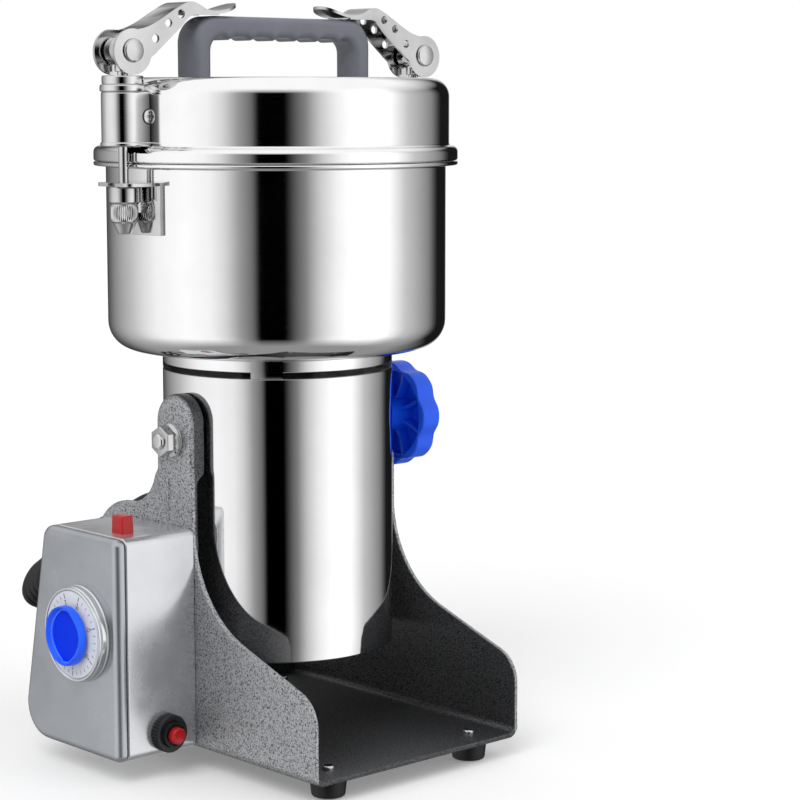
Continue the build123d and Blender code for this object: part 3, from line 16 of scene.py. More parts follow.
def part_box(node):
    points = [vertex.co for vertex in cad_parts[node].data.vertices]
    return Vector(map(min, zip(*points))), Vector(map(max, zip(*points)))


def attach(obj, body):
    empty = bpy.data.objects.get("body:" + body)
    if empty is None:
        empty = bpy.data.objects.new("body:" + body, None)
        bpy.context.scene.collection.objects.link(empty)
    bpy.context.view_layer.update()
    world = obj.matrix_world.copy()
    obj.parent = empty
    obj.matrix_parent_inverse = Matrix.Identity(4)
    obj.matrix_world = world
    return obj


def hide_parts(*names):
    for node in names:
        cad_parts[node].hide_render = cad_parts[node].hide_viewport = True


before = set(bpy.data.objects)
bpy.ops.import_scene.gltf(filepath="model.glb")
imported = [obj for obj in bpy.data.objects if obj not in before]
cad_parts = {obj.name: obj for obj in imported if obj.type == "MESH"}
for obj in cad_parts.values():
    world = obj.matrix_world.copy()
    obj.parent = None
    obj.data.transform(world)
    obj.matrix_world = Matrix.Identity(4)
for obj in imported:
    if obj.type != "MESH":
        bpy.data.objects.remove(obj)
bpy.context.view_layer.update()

low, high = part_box("bowl")
AXIS = np.array([(low.x + high.x) / 2, (low.y + high.y) / 2, 0.0])
PI = math.pi
SAME_POINT = 2e-7

# heights, from the table up
FLOOR_LOW, PLATE_FOOT = 12.0, 19.0
SHOULDER, EAR_TOP = 153.3, 222.0
SHELL_LOW, SHELL_TOP = 64.3, 232.9
BOWL_LOW, RIM = 245.0, 357.2
LID_LOW, LID_STEP, LID_TOP = 357.5, 366.3, 406.2
PIN_HIGH = 420.85
PIVOT = 195.2
STUDS = (0, 0, PIVOT)

# reaches from the bowl's axis
BOWL_R, BOWL_IN_R = 102.0, 100.2
LID_R, RIM_R = 104.0, 109.2
SHELL_R, SHELL_IN_R = 69.7, 68.5
LATCH_OUT = 112.6
PLATE_OUT, SHEET = 80.5, 3.0
BASE_FRONT, BASE_BACK, EAR_HALF = -127.4, 82.0, 17.5
BOX_WALL, BOX_SEAM = -80.55, -132.0

# bores that go round the pivot studs, the pull rods and the timer's spindle
STUD_BORE, ROD_BORE, DIAL_BORE = 5.05, 3.05, 4.05


# ------ shapes
def metres(points):
    """Points in millimetres about the bowl's axis, as points in the shared frame."""
    return np.asarray(points, float) * 0.001 + AXIS


def unit(vector):
    """The same direction, one long."""
    return vector / np.linalg.norm(vector)


def soft_step(share):
    """A smooth rise from 0 to 1: s s (3 - 2 s), with s the share held between 0 and 1."""
    share = np.clip(share, 0, 1)
    return share * share * (3 - 2 * share)


def rounded(corners, steps=8):
    """A line through corners (a, b, radius): each corner becomes an arc that touches both its
    sides, found from the half angle h between them: reach = radius / tan(h)."""
    out = []
    for i, (a, b, radius) in enumerate(corners):
        here = np.array([a, b], float)
        if radius <= 0:
            out.append(here[None])
            continue
        before = unit(corners[i - 1][:2] - here)
        after = unit(corners[(i + 1) % len(corners)][:2] - here)
        half = math.acos(np.clip(before @ after, -1, 1)) / 2
        centre = here + unit(before + after) * radius / math.sin(half)
        start = here + before * radius / math.tan(half) - centre
        stop = here + after * radius / math.tan(half) - centre
        sweep = np.linspace(0, 1, steps)[:, None]
        turn = PI - 2 * half
        arc = (np.sin((1 - sweep) * turn) * start + np.sin(sweep * turn) * stop) / math.sin(turn)
        out.append(centre + arc)
    line = np.vstack(out)
    return line[np.linalg.norm(line - np.roll(line, 1, 0), axis=1) > 1e-6]


def evenly(line, step, closed=True):
    """The same line with points no further apart than step, set along its length."""
    ends = np.vstack([line, line[:1]]) if closed else line
    run = np.linalg.norm(np.diff(ends, axis=0), axis=1)
    parts = np.maximum(1, np.ceil(run / step).astype(int))
    where = np.repeat(np.arange(len(run)), parts)
    first = np.repeat(np.cumsum(parts) - parts, parts)
    share = (np.arange(parts.sum()) - first) / parts[where]
    points = ends[where] + (ends[where + 1] - ends[where]) * share[:, None]
    return points if closed else np.vstack([points, ends[-1:]])


def quads(grid, round_u=False, round_v=False):
    """Four-sided faces between the neighbours of a grid of points."""
    index = np.arange(grid.shape[0] * grid.shape[1]).reshape(grid.shape[:2])
    if round_u:
        index = np.vstack([index, index[:1]])
    if round_v:
        index = np.hstack([index, index[:, :1]])
    corners = [index[:-1, :-1], index[1:, :-1], index[1:, 1:], index[:-1, 1:]]
    return np.stack(corners, -1).reshape(-1, 4).tolist()


def capped(rings):
    """A stack of closed rings as one shape, closed by a flat face on its first and last ring."""
    count, around = rings.shape[:2]
    last = (count - 1) * around
    ends = [list(range(around)), list(range(last, last + around))]
    return rings.reshape(-1, 3), quads(rings, False, True) + ends


def lathe(profile, centre=(0, 0, 0), along="z", around=128, loop=True, wobble=None):
    """A profile of (radius, height) turned about a line: point = (r cos t, r sin t, h), set on
    the axis named by along. Wobble changes the radius by angle and height."""
    profile = np.asarray(profile, float)
    t = np.linspace(0, 2 * PI, around, endpoint=False)[:, None]
    r = profile[None, :, 0] * np.ones_like(t)
    h = profile[None, :, 1] * np.ones_like(t)
    if wobble is not None:
        r = wobble(r, t * np.ones_like(r), h)
    a, b = r * np.cos(t), r * np.sin(t)
    grid = {"z": (a, b, h), "x": (h, a, b), "y": (b, h, a)}[along]
    grid = np.stack(grid, -1) + np.asarray(centre, float)
    return grid.reshape(-1, 3), quads(grid, True, loop)


def inset(outline, depth):
    """A closed outline moved inwards: every point goes along the mean of its two sides' normals,
    further by 1 / cos of half the turn, so that the sides stay parallel."""
    ahead = np.roll(outline, -1, 0) - outline
    ahead /= np.linalg.norm(ahead, axis=1)[:, None] + 1e-12
    behind = np.roll(ahead, 1, 0)
    a, b = outline[:, 0], outline[:, 1]
    area = np.sum(a * np.roll(b, -1) - b * np.roll(a, -1))
    flip = 1.0 if area > 0 else -1.0
    normal = flip * np.stack([-(ahead[:, 1] + behind[:, 1]), ahead[:, 0] + behind[:, 0]], 1)
    size = np.linalg.norm(normal, axis=1)[:, None] + 1e-12
    normal /= size
    stretch = np.minimum(2 / size, 2.0)
    return outline + normal * stretch * depth


def slab(outline, start, stop, edge, along, steps=5):
    """An outline carried from start to stop on one axis. Both rims are quarter rounds: at angle t
    the outline is inset by edge (1 - sin t) and set back by edge (1 - cos t)."""
    t = np.linspace(0, PI / 2, steps)
    sign = 1 if stop > start else -1
    rises = [(edge * (1 - math.sin(a)), start + sign * edge * (1 - math.cos(a))) for a in t]
    falls = [(edge * (1 - math.sin(a)), stop - sign * edge * (1 - math.cos(a))) for a in t[::-1]]
    grid = np.stack([np.column_stack([inset(outline, depth), np.full(len(outline), level)])
                     for depth, level in rises + falls])
    order = {"x": [2, 0, 1], "y": [0, 2, 1], "z": [0, 1, 2]}[along]
    return capped(grid[..., order])


def joined(*shapes):
    """Several shapes as one set of points and faces."""
    points, faces, start = [], [], 0
    for verts, polys in shapes:
        points.append(verts)
        faces += [[i + start for i in poly] for poly in polys]
        start += len(verts)
    return np.vstack(points), faces


def piece(name, shape, finish, body, stands_for=(), sharp=38):
    """A closed mesh from points and faces, with doubles merged, faces turned outwards and edges
    kept crisp above an angle. It rides on a body and may stand for solids."""
    verts, faces = shape
    mesh = bpy.data.meshes.new(name)
    mesh.from_pydata(metres(verts).tolist(), [], faces)
    work = bmesh.new()
    work.from_mesh(mesh)
    bmesh.ops.remove_doubles(work, verts=work.verts, dist=SAME_POINT)
    bmesh.ops.dissolve_degenerate(work, edges=work.edges, dist=SAME_POINT)
    bmesh.ops.recalc_face_normals(work, faces=work.faces)
    work.to_mesh(mesh)
    work.free()
    dress(bpy.data.objects.new(name, mesh), finish, body, stands_for, sharp)


def dress(thing, finish, body, stands_for=(), sharp=38):
    """Material, smooth shading with crisp edges, and the body that a new object rides on."""
    bpy.context.scene.collection.objects.link(thing)
    thing.data.materials.clear()
    thing.data.materials.append(finish)
    thing.data.shade_smooth()
    thing.data.set_sharp_from_angle(angle=math.radians(sharp))
    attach(thing, body)
    if stands_for:
        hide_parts(*stands_for)


def eased(node, finish, body, width, segments):
    """A copy of a solid with its doubles merged, its flat faces joined and its edges rounded."""
    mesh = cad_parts[node].data.copy()
    work = bmesh.new()
    work.from_mesh(mesh)
    bmesh.ops.remove_doubles(work, verts=work.verts, dist=2e-6)
    bmesh.ops.dissolve_limit(work, angle_limit=math.radians(1), verts=work.verts, edges=work.edges)
    work.to_mesh(mesh)
    work.free()
    thing = bpy.data.objects.new(node + "_eased", mesh)
    dress(thing, finish, body, (node,))
    bevel = thing.modifiers.new("eased_edges", "BEVEL")
    bevel.width = width * 0.001
    bevel.segments = segments
    bevel.limit_method = "ANGLE"
    bevel.angle_limit = math.radians(35)


# ------ shader tools
def group(name, inputs, outputs):
    """An empty shader node group with its sockets, each given as name and kind: its tree, what
    comes in and what goes out."""
    tree = bpy.data.node_groups.new(name, "ShaderNodeTree")
    for way, sockets in (("INPUT", inputs), ("OUTPUT", outputs)):
        for label, kind in sockets.items():
            tree.interface.new_socket(label, in_out=way, socket_type="NodeSocket" + kind)
    return (tree, tree.nodes.new("NodeGroupInput").outputs,
            tree.nodes.new("NodeGroupOutput").inputs)


def node(tree, kind, links=(), **settings):
    """A shader node with its settings, and its inputs given as values or as sockets to link."""
    made = tree.nodes.new("ShaderNode" + kind)
    for key, value in settings.items():
        setattr(made, key, value)
    for key, value in links:
        if isinstance(value, bpy.types.NodeSocket):
            tree.links.new(value, made.inputs[key])
        else:
            made.inputs[key].default_value = value
    return made


def feed(tree, inputs, **sockets):
    """Sockets linked to the inputs that they are named after."""
    for key, value in sockets.items():
        tree.links.new(value, inputs[key.replace("_", " ")])


def worked(tree, operation, *values):
    """The result of one step of arithmetic."""
    return node(tree, "Math", enumerate(values), operation=operation).outputs[0]


def noise(tree, place, scale, detail, rough=0.5):
    """Noise over the surface: its outputs."""
    return node(tree, "TexNoise", [("Vector", place), ("Scale", scale), ("Detail", detail),
                                   ("Roughness", rough)]).outputs


def spread(tree, value, start, stop, to_start=0.0, to_stop=1.0, kind="LINEAR"):
    """A value between start and stop, taken to the span from to_start to to_stop."""
    return node(tree, "MapRange", [("Value", value), ("From Min", start), ("From Max", stop),
                                   ("To Min", to_start), ("To Max", to_stop)],
                interpolation_type=kind).outputs[0]


def mixed(tree, share, first, second):
    """A colour between two others."""
    return node(tree, "Mix", [(0, share), (6, first), (7, second)], data_type="RGBA").outputs[2]


NOISE_SPAN = (0.3, 0.7)  # where nearly all of a noise's values lie


def hammered():
    """Hammered enamel: round cells, pushed about by noise, stand up from the coat. Between them,
    in patches, it is darker and duller."""
    push, cell, patches, gloss = 0.0016, (0.1, 0.75), (0.38, 0.66), (0.34, 0.52)
    tree, given, out = group(
        "hammered", dict(Place="Vector", Size="Float", Light="Color", Dark="Color"),
        dict(Color="Color", Height="Float", Roughness="Float"))
    place, size = given["Place"], given["Size"]
    drift = noise(tree, place, worked(tree, "MULTIPLY", size, 0.45), 3.0)["Color"]
    bent = node(tree, "Mix", [(0, push), (4, place), (5, drift)], data_type="VECTOR").outputs[1]
    cells = node(tree, "TexVoronoi", [("Vector", bent), ("Smoothness", 0.5), ("Scale", size)],
                 feature="SMOOTH_F1").outputs["Distance"]
    depth = spread(tree, cells, *cell, kind="SMOOTHSTEP")
    patch = spread(tree, noise(tree, place, size, 2.0)["Fac"], *patches, kind="SMOOTHSTEP")
    mask = worked(tree, "MULTIPLY", depth, patch)
    feed(tree, out, Color=mixed(tree, mask, given["Light"], given["Dark"]),
         Height=worked(tree, "SUBTRACT", 1.0, depth),
         Roughness=spread(tree, mask, 0.0, 1.0, *gloss))
    return tree


def brushed():
    """Fine lines drawn out across one direction, with broad faint smudges over them."""
    tree, given, out = group(
        "brushed", dict(Place="Vector", Stretch="Vector", Low="Float", High="Float"),
        dict(Roughness="Float", Height="Float", Smudge="Float"))
    pulled = node(tree, "VectorMath", [(0, given["Place"]), (1, given["Stretch"])],
                  operation="MULTIPLY").outputs[0]
    lines = noise(tree, pulled, 1.0, 4.0)["Fac"]
    smudge = noise(tree, given["Place"], 22.0, 4.0, 0.6)["Fac"]
    both = node(tree, "Mix", [(0, 0.45), (2, lines), (3, smudge)]).outputs[0]
    feed(tree, out, Height=lines, Smudge=smudge,
         Roughness=spread(tree, both, *NOISE_SPAN, given["Low"], given["High"]))
    return tree


def moulded():
    """The fine even texture of a moulding, with a faint drift of its gloss."""
    tree, given, out = group(
        "moulded", dict(Place="Vector", Size="Float", Low="Float", High="Float"),
        dict(Roughness="Float", Height="Float", Shade="Float"))
    drift = noise(tree, given["Place"], 45.0, 3.0)["Fac"]
    feed(tree, out, Height=noise(tree, given["Place"], given["Size"], 3.0)["Fac"], Shade=drift,
         Roughness=spread(tree, drift, *NOISE_SPAN, given["Low"], given["High"]))
    return tree


HAMMERED, BRUSHED, MOULDED = hammered(), brushed(), moulded()
COAT_BUMP, FINE_BUMP = 0.0005, 0.0002
PLATE_FACE = (0.0776, 0.0784)  # where the painted shade between the side plates starts, just behind a plate's inner face, metres from the middle


def finish_base(name, **sockets):
    """A material with its Principled shader, its values set straight on the sockets."""
    made = bpy.data.materials.new(name)
    made.use_nodes = True
    tree = made.node_tree
    shader = tree.nodes["Principled BSDF"]
    for key, value in sockets.items():
        shader.inputs[key.replace("_", " ")].default_value = value
    return made, tree, shader, node(tree, "TexCoord").outputs["Object"]


def effect(tree, kind, place, **values):
    """The outputs of a shared effect, put into a material with its own values."""
    made = tree.nodes.new("ShaderNodeGroup")
    made.node_tree = kind
    tree.links.new(place, made.inputs["Place"])
    for key, value in values.items():
        made.inputs[key].default_value = value
    return made.outputs


def raised(tree, height, strength, distance):
    """A height over the surface as the normal that a Bump gives."""
    return node(tree, "Bump", [("Strength", strength), ("Distance", distance),
                               ("Height", height)]).outputs[0]


def between(tree, mask, dark, light):
    """A colour drawn between two tones by a noisy mask."""
    return mixed(tree, spread(tree, mask, *NOISE_SPAN), (*dark, 1), (*light, 1))


def enamel(name, light, dark, size, metal, strength, inside):
    """Hammered enamel over steel. Inside the base, between its plates, the coat's colour is scaled
    down to the share inside: painted shade."""
    made, tree, shader, place = finish_base(name, Metallic=metal, Coat_Weight=0.25,
                                            Coat_Roughness=0.25)
    coat = effect(tree, HAMMERED, place, Size=size, Light=(*light, 1), Dark=(*dark, 1))
    # painted shade: between the side plates the coat's colour is scaled down to the share inside
    x = node(tree, "SeparateXYZ", [("Vector", place)]).outputs["X"]
    reach = worked(tree, "ABSOLUTE", worked(tree, "SUBTRACT", x, float(AXIS[0])))
    cover = spread(tree, reach, *PLATE_FACE, inside, 1.0)
    painted_shade_coat = node(tree, "VectorMath", [(0, coat["Color"]), ("Scale", cover)], operation="SCALE")
    feed(tree, shader.inputs, Base_Color=painted_shade_coat.outputs[0], Roughness=coat["Roughness"],
         Normal=raised(tree, coat["Height"], strength, COAT_BUMP))
    return made


def steel(name, dark, light, stretch=(6.0, 6.0, 1500.0), low=0.1, high=0.24, strength=0.05):
    """Polished or brushed steel, its lines drawn across the direction with the largest stretch."""
    made, tree, shader, place = finish_base(name, Metallic=1.0)
    lines = effect(tree, BRUSHED, place, Stretch=stretch, Low=low, High=high)
    feed(tree, shader.inputs, Base_Color=between(tree, lines["Smudge"], dark, light),
         Roughness=lines["Roughness"], Normal=raised(tree, lines["Height"], strength, FINE_BUMP))
    return made


def moulding(name, dark, light, low=0.28, high=0.42, size=1800.0, strength=0.06, **sockets):
    """Moulded plastic or rubber, or smooth paint."""
    made, tree, shader, place = finish_base(name, **sockets)
    skin = effect(tree, MOULDED, place, Size=size, Low=low, High=high)
    feed(tree, shader.inputs, Base_Color=between(tree, skin["Shade"], dark, light),
         Roughness=skin["Roughness"], Normal=raised(tree, skin["Height"], strength, FINE_BUMP))
    return made


# ------ finishes
# inside=0.2 paints shade between the side plates: there the coat keeps a fifth of its colour
grey_enamel = enamel("grey hammered enamel", (0.48, 0.49, 0.51), (0.055, 0.057, 0.063),
                     size=1000.0, metal=0.75, strength=0.5, inside=0.2)
bowl_steel = steel("bowl steel", (0.86, 0.86, 0.87), (0.92, 0.92, 0.92),
                   low=0.045, high=0.10, strength=0.02)
shell_steel = steel("motor shell steel", (0.79, 0.79, 0.80), (0.85, 0.85, 0.86),
                    low=0.04, high=0.08, strength=0.01)
plated = steel("bright plated steel", (0.52, 0.52, 0.53), (0.72, 0.72, 0.72),
               (60.0, 60.0, 60.0), 0.06, 0.13, 0.03)
lever_steel = steel("pressed lever steel", (0.44, 0.44, 0.45), (0.64, 0.64, 0.64),
                    (50.0, 50.0, 50.0), 0.08, 0.17, 0.03)
satin_plated = steel("satin plated steel", (0.60, 0.60, 0.60), (0.74, 0.74, 0.74),
                     (90.0, 90.0, 90.0), 0.06, 0.12, 0.02)
blade_steel = steel("ground blade steel", (0.5, 0.5, 0.51), (0.62, 0.62, 0.62),
                    (900.0, 40.0, 40.0), 0.2, 0.35)
cast_metal = steel("cast aluminium", (0.16, 0.16, 0.165), (0.24, 0.24, 0.245),
                   (300.0, 300.0, 300.0), 0.4, 0.6, 0.2)
core_iron = steel("laminated core iron", (0.10, 0.10, 0.105), (0.18, 0.18, 0.18),
                  (30.0, 30.0, 2500.0), 0.4, 0.6, 0.3)
copper_wire = steel("enamelled copper", (0.42, 0.16, 0.07), (0.58, 0.25, 0.12),
                    (30.0, 30.0, 1400.0), 0.25, 0.4, 0.4)
blue_plastic = moulding("blue plastic", (0.006, 0.10, 0.96), (0.010, 0.125, 1.0), 0.3, 0.42,
                        Specular_IOR_Level=0.35, Coat_Weight=0.08, Coat_Roughness=0.12)
# a lighter blue that paints a highlight on the bead round the timer knob's oval
painted_highlight_blue = moulding("blue plastic with painted highlight", (0.05, 0.16, 1.0), (0.07, 0.19, 1.0), 0.25, 0.35)
# a darker blue that paints shade on the timer knob's oval floor
painted_shade_blue = moulding("blue plastic with painted shade", (0.0, 0.030, 0.74), (0.001, 0.038, 0.80), 0.4, 0.5,
                     Specular_IOR_Level=0.05)
silver_enamel = moulding("silver satin enamel", (0.39, 0.41, 0.44), (0.44, 0.46, 0.49),
                         0.2, 0.28, 2500.0, 0.03,
                         Metallic=0.8, Coat_Weight=0.2, Coat_Roughness=0.15)
box_enamel = moulding("bright satin enamel", (0.60, 0.61, 0.63), (0.68, 0.69, 0.71),
                      0.2, 0.3, 2500.0, 0.04,
                      Metallic=0.8, Coat_Weight=0.2, Coat_Roughness=0.15)
red_plastic = moulding("red plastic", (0.36, 0.006, 0.008), (0.46, 0.010, 0.012), 0.16, 0.26,
                       Specular_IOR_Level=0.3, Coat_Weight=0.15, Coat_Roughness=0.1)
handle_plastic = moulding("slate grey plastic", (0.135, 0.140, 0.170), (0.165, 0.170, 0.203),
                          0.38, 0.52, 1500.0, 0.12)
black_plastic = moulding("black plastic", (0.010, 0.010, 0.011), (0.020, 0.020, 0.022),
                         Specular_IOR_Level=0.35)
white_plastic = moulding("white dial plastic", (0.60, 0.62, 0.66), (0.68, 0.70, 0.74), 0.3, 0.42)
bezel_plastic = moulding("silver bezel plastic", (0.66, 0.67, 0.69), (0.76, 0.77, 0.79),
                         0.12, 0.2, Metallic=0.9)
rubber = moulding("black rubber", (0.007, 0.007, 0.008), (0.015, 0.015, 0.016),
                  0.36, 0.5, 1200.0, 0.15, Specular_IOR_Level=0.3)
silicone = moulding("white silicone", (0.66, 0.66, 0.64), (0.76, 0.76, 0.74), 0.4, 0.55)
ink = moulding("dial ink", (0.03, 0.03, 0.035), (0.05, 0.05, 0.055), 0.45, 0.6)

# ------ camera
TURN, PITCH = math.radians(42.71), math.radians(7.4)
EYE = metres([-891.9, -1075.9, 393.0])
ahead = np.array([math.sin(TURN) * math.cos(PITCH), math.cos(TURN) * math.cos(PITCH),
                  -math.sin(PITCH)])
right = np.array([math.cos(TURN), -math.sin(TURN), 0.0])
upward = np.cross(right, ahead)
camera = bpy.data.objects.new("camera", bpy.data.cameras.new("camera"))
camera.data.lens = 103.8
camera.data.sensor_width = 36.0
camera.data.clip_start = 0.05
camera.matrix_world = Matrix([*np.column_stack([right, upward, -ahead, EYE]).tolist(),
                              (0, 0, 0, 1)])
bpy.context.scene.collection.objects.link(camera)
bpy.context.scene.camera = camera

# ------ power cord
CORD = 6.5
HANK_MIDDLE = np.array([-22.0, 153.4, 99.6])
HANK_LONG = unit(np.array([0.945, 0.060, 0.322]))
HANK_DEEP = np.array([-0.109, -0.870, 0.482])
HANK_DEEP = unit(HANK_DEEP - HANK_LONG * (HANK_DEEP @ HANK_LONG))
HANK_WIDE = np.cross(HANK_DEEP, HANK_LONG)
LOOPS, RUN, HALF_WIDE, END_REACH = 5, 96.0, 14.2, 16.3
wall_turn = np.array([0, 130.9, 26.0]) / math.hypot(130.9, 26.0)
gland_root = np.array([-96.0, 62.15, 106.0])
cord_exit = gland_root + wall_turn * 9.2


def hank_line():
    """Control points of the folded cord: each turn is two long runs joined by two tight ends, and
    the turns lie side by side, one cord apart: point = middle + long a + wide b - deep c."""
    turn = np.arange(LOOPS)[:, None]
    run = np.array([-0.5, -0.25, 0, 0.25, 0.5])
    a = np.concatenate([run * RUN, [0.5 * RUN + END_REACH], -run * RUN, [-0.5 * RUN - END_REACH]])
    b = np.concatenate([np.ones(5), [0], -np.ones(5), [0]]) * HALF_WIDE
    c = (np.arange(12) / 12 + turn - LOOPS / 2 + 0.2) * CORD
    a, b = a + 0 * turn, b + 0 * turn
    grid = (HANK_MIDDLE + a[..., None] * HANK_LONG + b[..., None] * HANK_WIDE
            - c[..., None] * HANK_DEEP)
    return grid.reshape(-1, 3)


corner = cord_exit + wall_turn * 42
lead_in = HANK_MIDDLE - HANK_LONG * 34 + HANK_DEEP * 9
stub = [cord_exit, cord_exit + wall_turn * 12, cord_exit + wall_turn * 24, corner - wall_turn * 4,
        corner + (lead_in - corner) * 0.36, corner + (lead_in - corner) * 0.7, lead_in]
tail = [(-31.0, 160.0, 84.0), (-36.0, 154.0, 64.0), (-36.0, 152.5, 45.0), (-36.0, 152.5, 11.0),
        (-2.0, 152.5, 11.0), (20.0, 152.5, 11.0), (40.0, 152.5, 11.0)]
route = metres(np.vstack([stub, hank_line()[2:-4], tail]))
curve = bpy.data.curves.new("power_lead", "CURVE")
curve.dimensions = "3D"
curve.bevel_depth = CORD / 2000
curve.bevel_resolution = 5
curve.use_fill_caps = True
spline = curve.splines.new("NURBS")
spline.points.add(len(route) - 1)
spline.points.foreach_set("co", np.column_stack([route, np.ones(len(route))]).ravel())
spline.order_u = 3
spline.use_endpoint_u = True
spline.resolution_u = 8
lead = bpy.data.objects.new("power_lead", curve)
bpy.context.scene.collection.objects.link(lead)
curve.materials.append(rubber)
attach(lead, "base")
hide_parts("power_cord", "cord_hank")


def aimed(shape, root, aim):
    """A shape made about z, turned so that its z runs along aim, and set on a root point."""
    verts, faces = shape
    aim = unit(aim)
    beside = unit(np.cross([0.0, 0.0, 1.0], aim))
    return root + verts @ np.array([beside, np.cross(aim, beside), aim]), faces


# the strain relief: a flange, a shank and a ribbed tail that thins out along the lead
rib = np.linspace(9.4, 31.0, 55)
thin = 6.0 - (rib - 9.4) * 0.085 - 0.75 * (np.sin(rib * 2 * PI / 3.6) > 0.1)
relief = lathe(np.vstack([
    rounded([(0, -8.9, 0), (5.9, -8.9, 0.6), (5.9, 0.06, 0), (8.9, 0.06, 0.2), (8.9, 2.0, 0.9),
             (7.4, 2.1, 0.4), (6.4, 9.2, 0.5)], 5)[:-1],
    np.column_stack([thin, rib]), [(3.5, 31.6), (0, 31.6)]]), around=56, loop=False)
piece("strain_relief", aimed(relief, gland_root, wall_turn), rubber, "base",
      ("cord_gland",), 40)

# ------ bowl, lid and motor pod
bowl = lathe(evenly(rounded([
    (15.05, BOWL_LOW, 0), (BOWL_R, BOWL_LOW, 17.0), (BOWL_R, RIM - 2.4, 1.2),
    (RIM_R, RIM - 2.4, 0.9), (RIM_R, RIM, 0.9), (BOWL_IN_R, RIM, 0.6),
    (BOWL_IN_R, BOWL_LOW + 1.8, 15.2), (15.05, BOWL_LOW + 1.8, 0)], 12), 8.0), around=192)
piece("bowl_shell", bowl, bowl_steel, "head", ("bowl",))

lid = lathe(evenly(rounded([
    (0, LID_TOP, 0), (LID_R, LID_TOP, 10.8), (LID_R, LID_STEP, 1.6), (RIM_R, LID_STEP, 3.7),
    (RIM_R, LID_LOW, 1.3), (106.7, LID_LOW, 0), (106.7, LID_LOW + 3.0, 0),
    (102.9, LID_LOW + 3.0, 0), (102.9, LID_LOW, 0), (102.4, LID_LOW, 0),
    (102.4, LID_TOP - 11.0, 9.0), (0, LID_TOP - 1.6, 0)], 12), 6.0, closed=False),
    around=192, loop=False)
piece("lid_shell", lid, bowl_steel, "head", ("lid",))

shell = lathe(evenly(rounded([
    (SHELL_R, SHELL_LOW, 1.0), (SHELL_R, SHELL_TOP, 0.8), (SHELL_IN_R, SHELL_TOP, 0),
    (SHELL_IN_R, SHELL_LOW, 0)], 5), 12.0), around=192)
bosses = [lathe(rounded([(STUD_BORE, side * 67.9, 0), (12.0, side * 67.9, 0),
                         (12.0, side * 77.2, 0.8), (STUD_BORE, side * 77.2, 0.3)], 5),
                STUDS, "x", 64) for side in (-1, 1)]
piece("pod_shell", joined(shell, *bosses), shell_steel, "head", ("motor_shell",))

collar_ring = lathe(rounded([(69.2, 236.3, 0.6), (69.2, 243.2, 0.6), (60.7, 243.2, 0),
                             (60.7, 236.3, 0)], 5), around=192)


def pillar(turn):
    """A short block between the pod and the bowl, its outer face on the ring's own curve."""
    swing = np.linspace(-9.4, 9.4, 13) / 69.65
    outer = np.column_stack([69.65 * np.cos(swing + turn), 69.65 * np.sin(swing + turn)])
    inner = np.column_stack([60.9 * np.cos(swing[::-1] + turn), 60.9 * np.sin(swing[::-1] + turn)])
    return slab(np.vstack([outer, inner]), SHELL_TOP, BOWL_LOW, 0.25, "z", 3)


piece("collar_ring", joined(collar_ring, *[pillar(PI / 4 + PI / 2 * i) for i in range(4)]),
      bowl_steel, "head", ("collar",))

# ------ carrying handle
HANDLE_FOOT = 406.25
FINGER_RIDGES = (-42, -25.2, -8.4, 8.4, 25.2, 42)


def arch(half, top, bend):
    """The handle's arch as (x, z): up the left leg, round a bend, across, and down the right."""
    leg = np.column_stack([np.full(8, -half), np.linspace(HANDLE_FOOT, top - bend, 9)[:-1]])
    turn = np.linspace(0, PI / 2, 19)
    bow = np.column_stack([bend - half - bend * np.cos(turn), top - bend + bend * np.sin(turn)])
    left = np.vstack([leg, bow[:-1]])
    across = np.column_stack([np.linspace(bend - half, half - bend, 121), np.full(121, top)])
    return np.vstack([left, across, left[::-1] * [-1, 1]])


def carrying_arch():
    """The grip as a band between an outer and an inner arch: its section is a rectangle with
    round corners, corner centre + radius (cos t, sin t). Low ridges part the fingers."""
    outside, inside = arch(67.5, 441.7, 16.0), arch(55.5, 429.6, 8.4)
    ridge = sum(np.exp(-((inside[:, 0] - x) / 2.6) ** 2) for x in FINGER_RIDGES)
    inside[:, 1] -= 1.7 * ridge * (inside[:, 1] > 429.0)
    across = outside - inside
    thick = np.linalg.norm(across, axis=1)
    across /= thick[:, None]
    around, radius, half_wide = 48, 4.4, 10.5
    t = np.linspace(0, 2 * PI, around, endpoint=False) + PI / around
    a = np.sign(np.cos(t)) * (thick[:, None] / 2 - radius) + radius * np.cos(t)
    y = np.sign(np.sin(t)) * (half_wide - radius) + radius * np.sin(t) + 0 * a
    middle = (outside + inside) / 2
    return capped(np.stack([middle[:, :1] + a * across[:, :1], y,
                            middle[:, 1:] + a * across[:, 1:]], -1))


piece("carrying_handle", carrying_arch(), handle_plastic, "head", ("handle",), 50)


# ------ latches
def mirrored(shape, side):
    """A right-hand shape, or its mirror image on the left."""
    verts, faces = shape
    return verts * np.array([side, 1, 1]), faces


def knurled(count, deep, low_edge, high_edge):
    """Radius with rounded ribs: r - deep |sin(count t / 2)| between two heights."""
    def wave(r, t, h):
        inside = (h > low_edge) & (h < high_edge)
        return r - np.where(inside, deep * np.abs(np.sin(count * t / 2)), 0.0)
    return wave


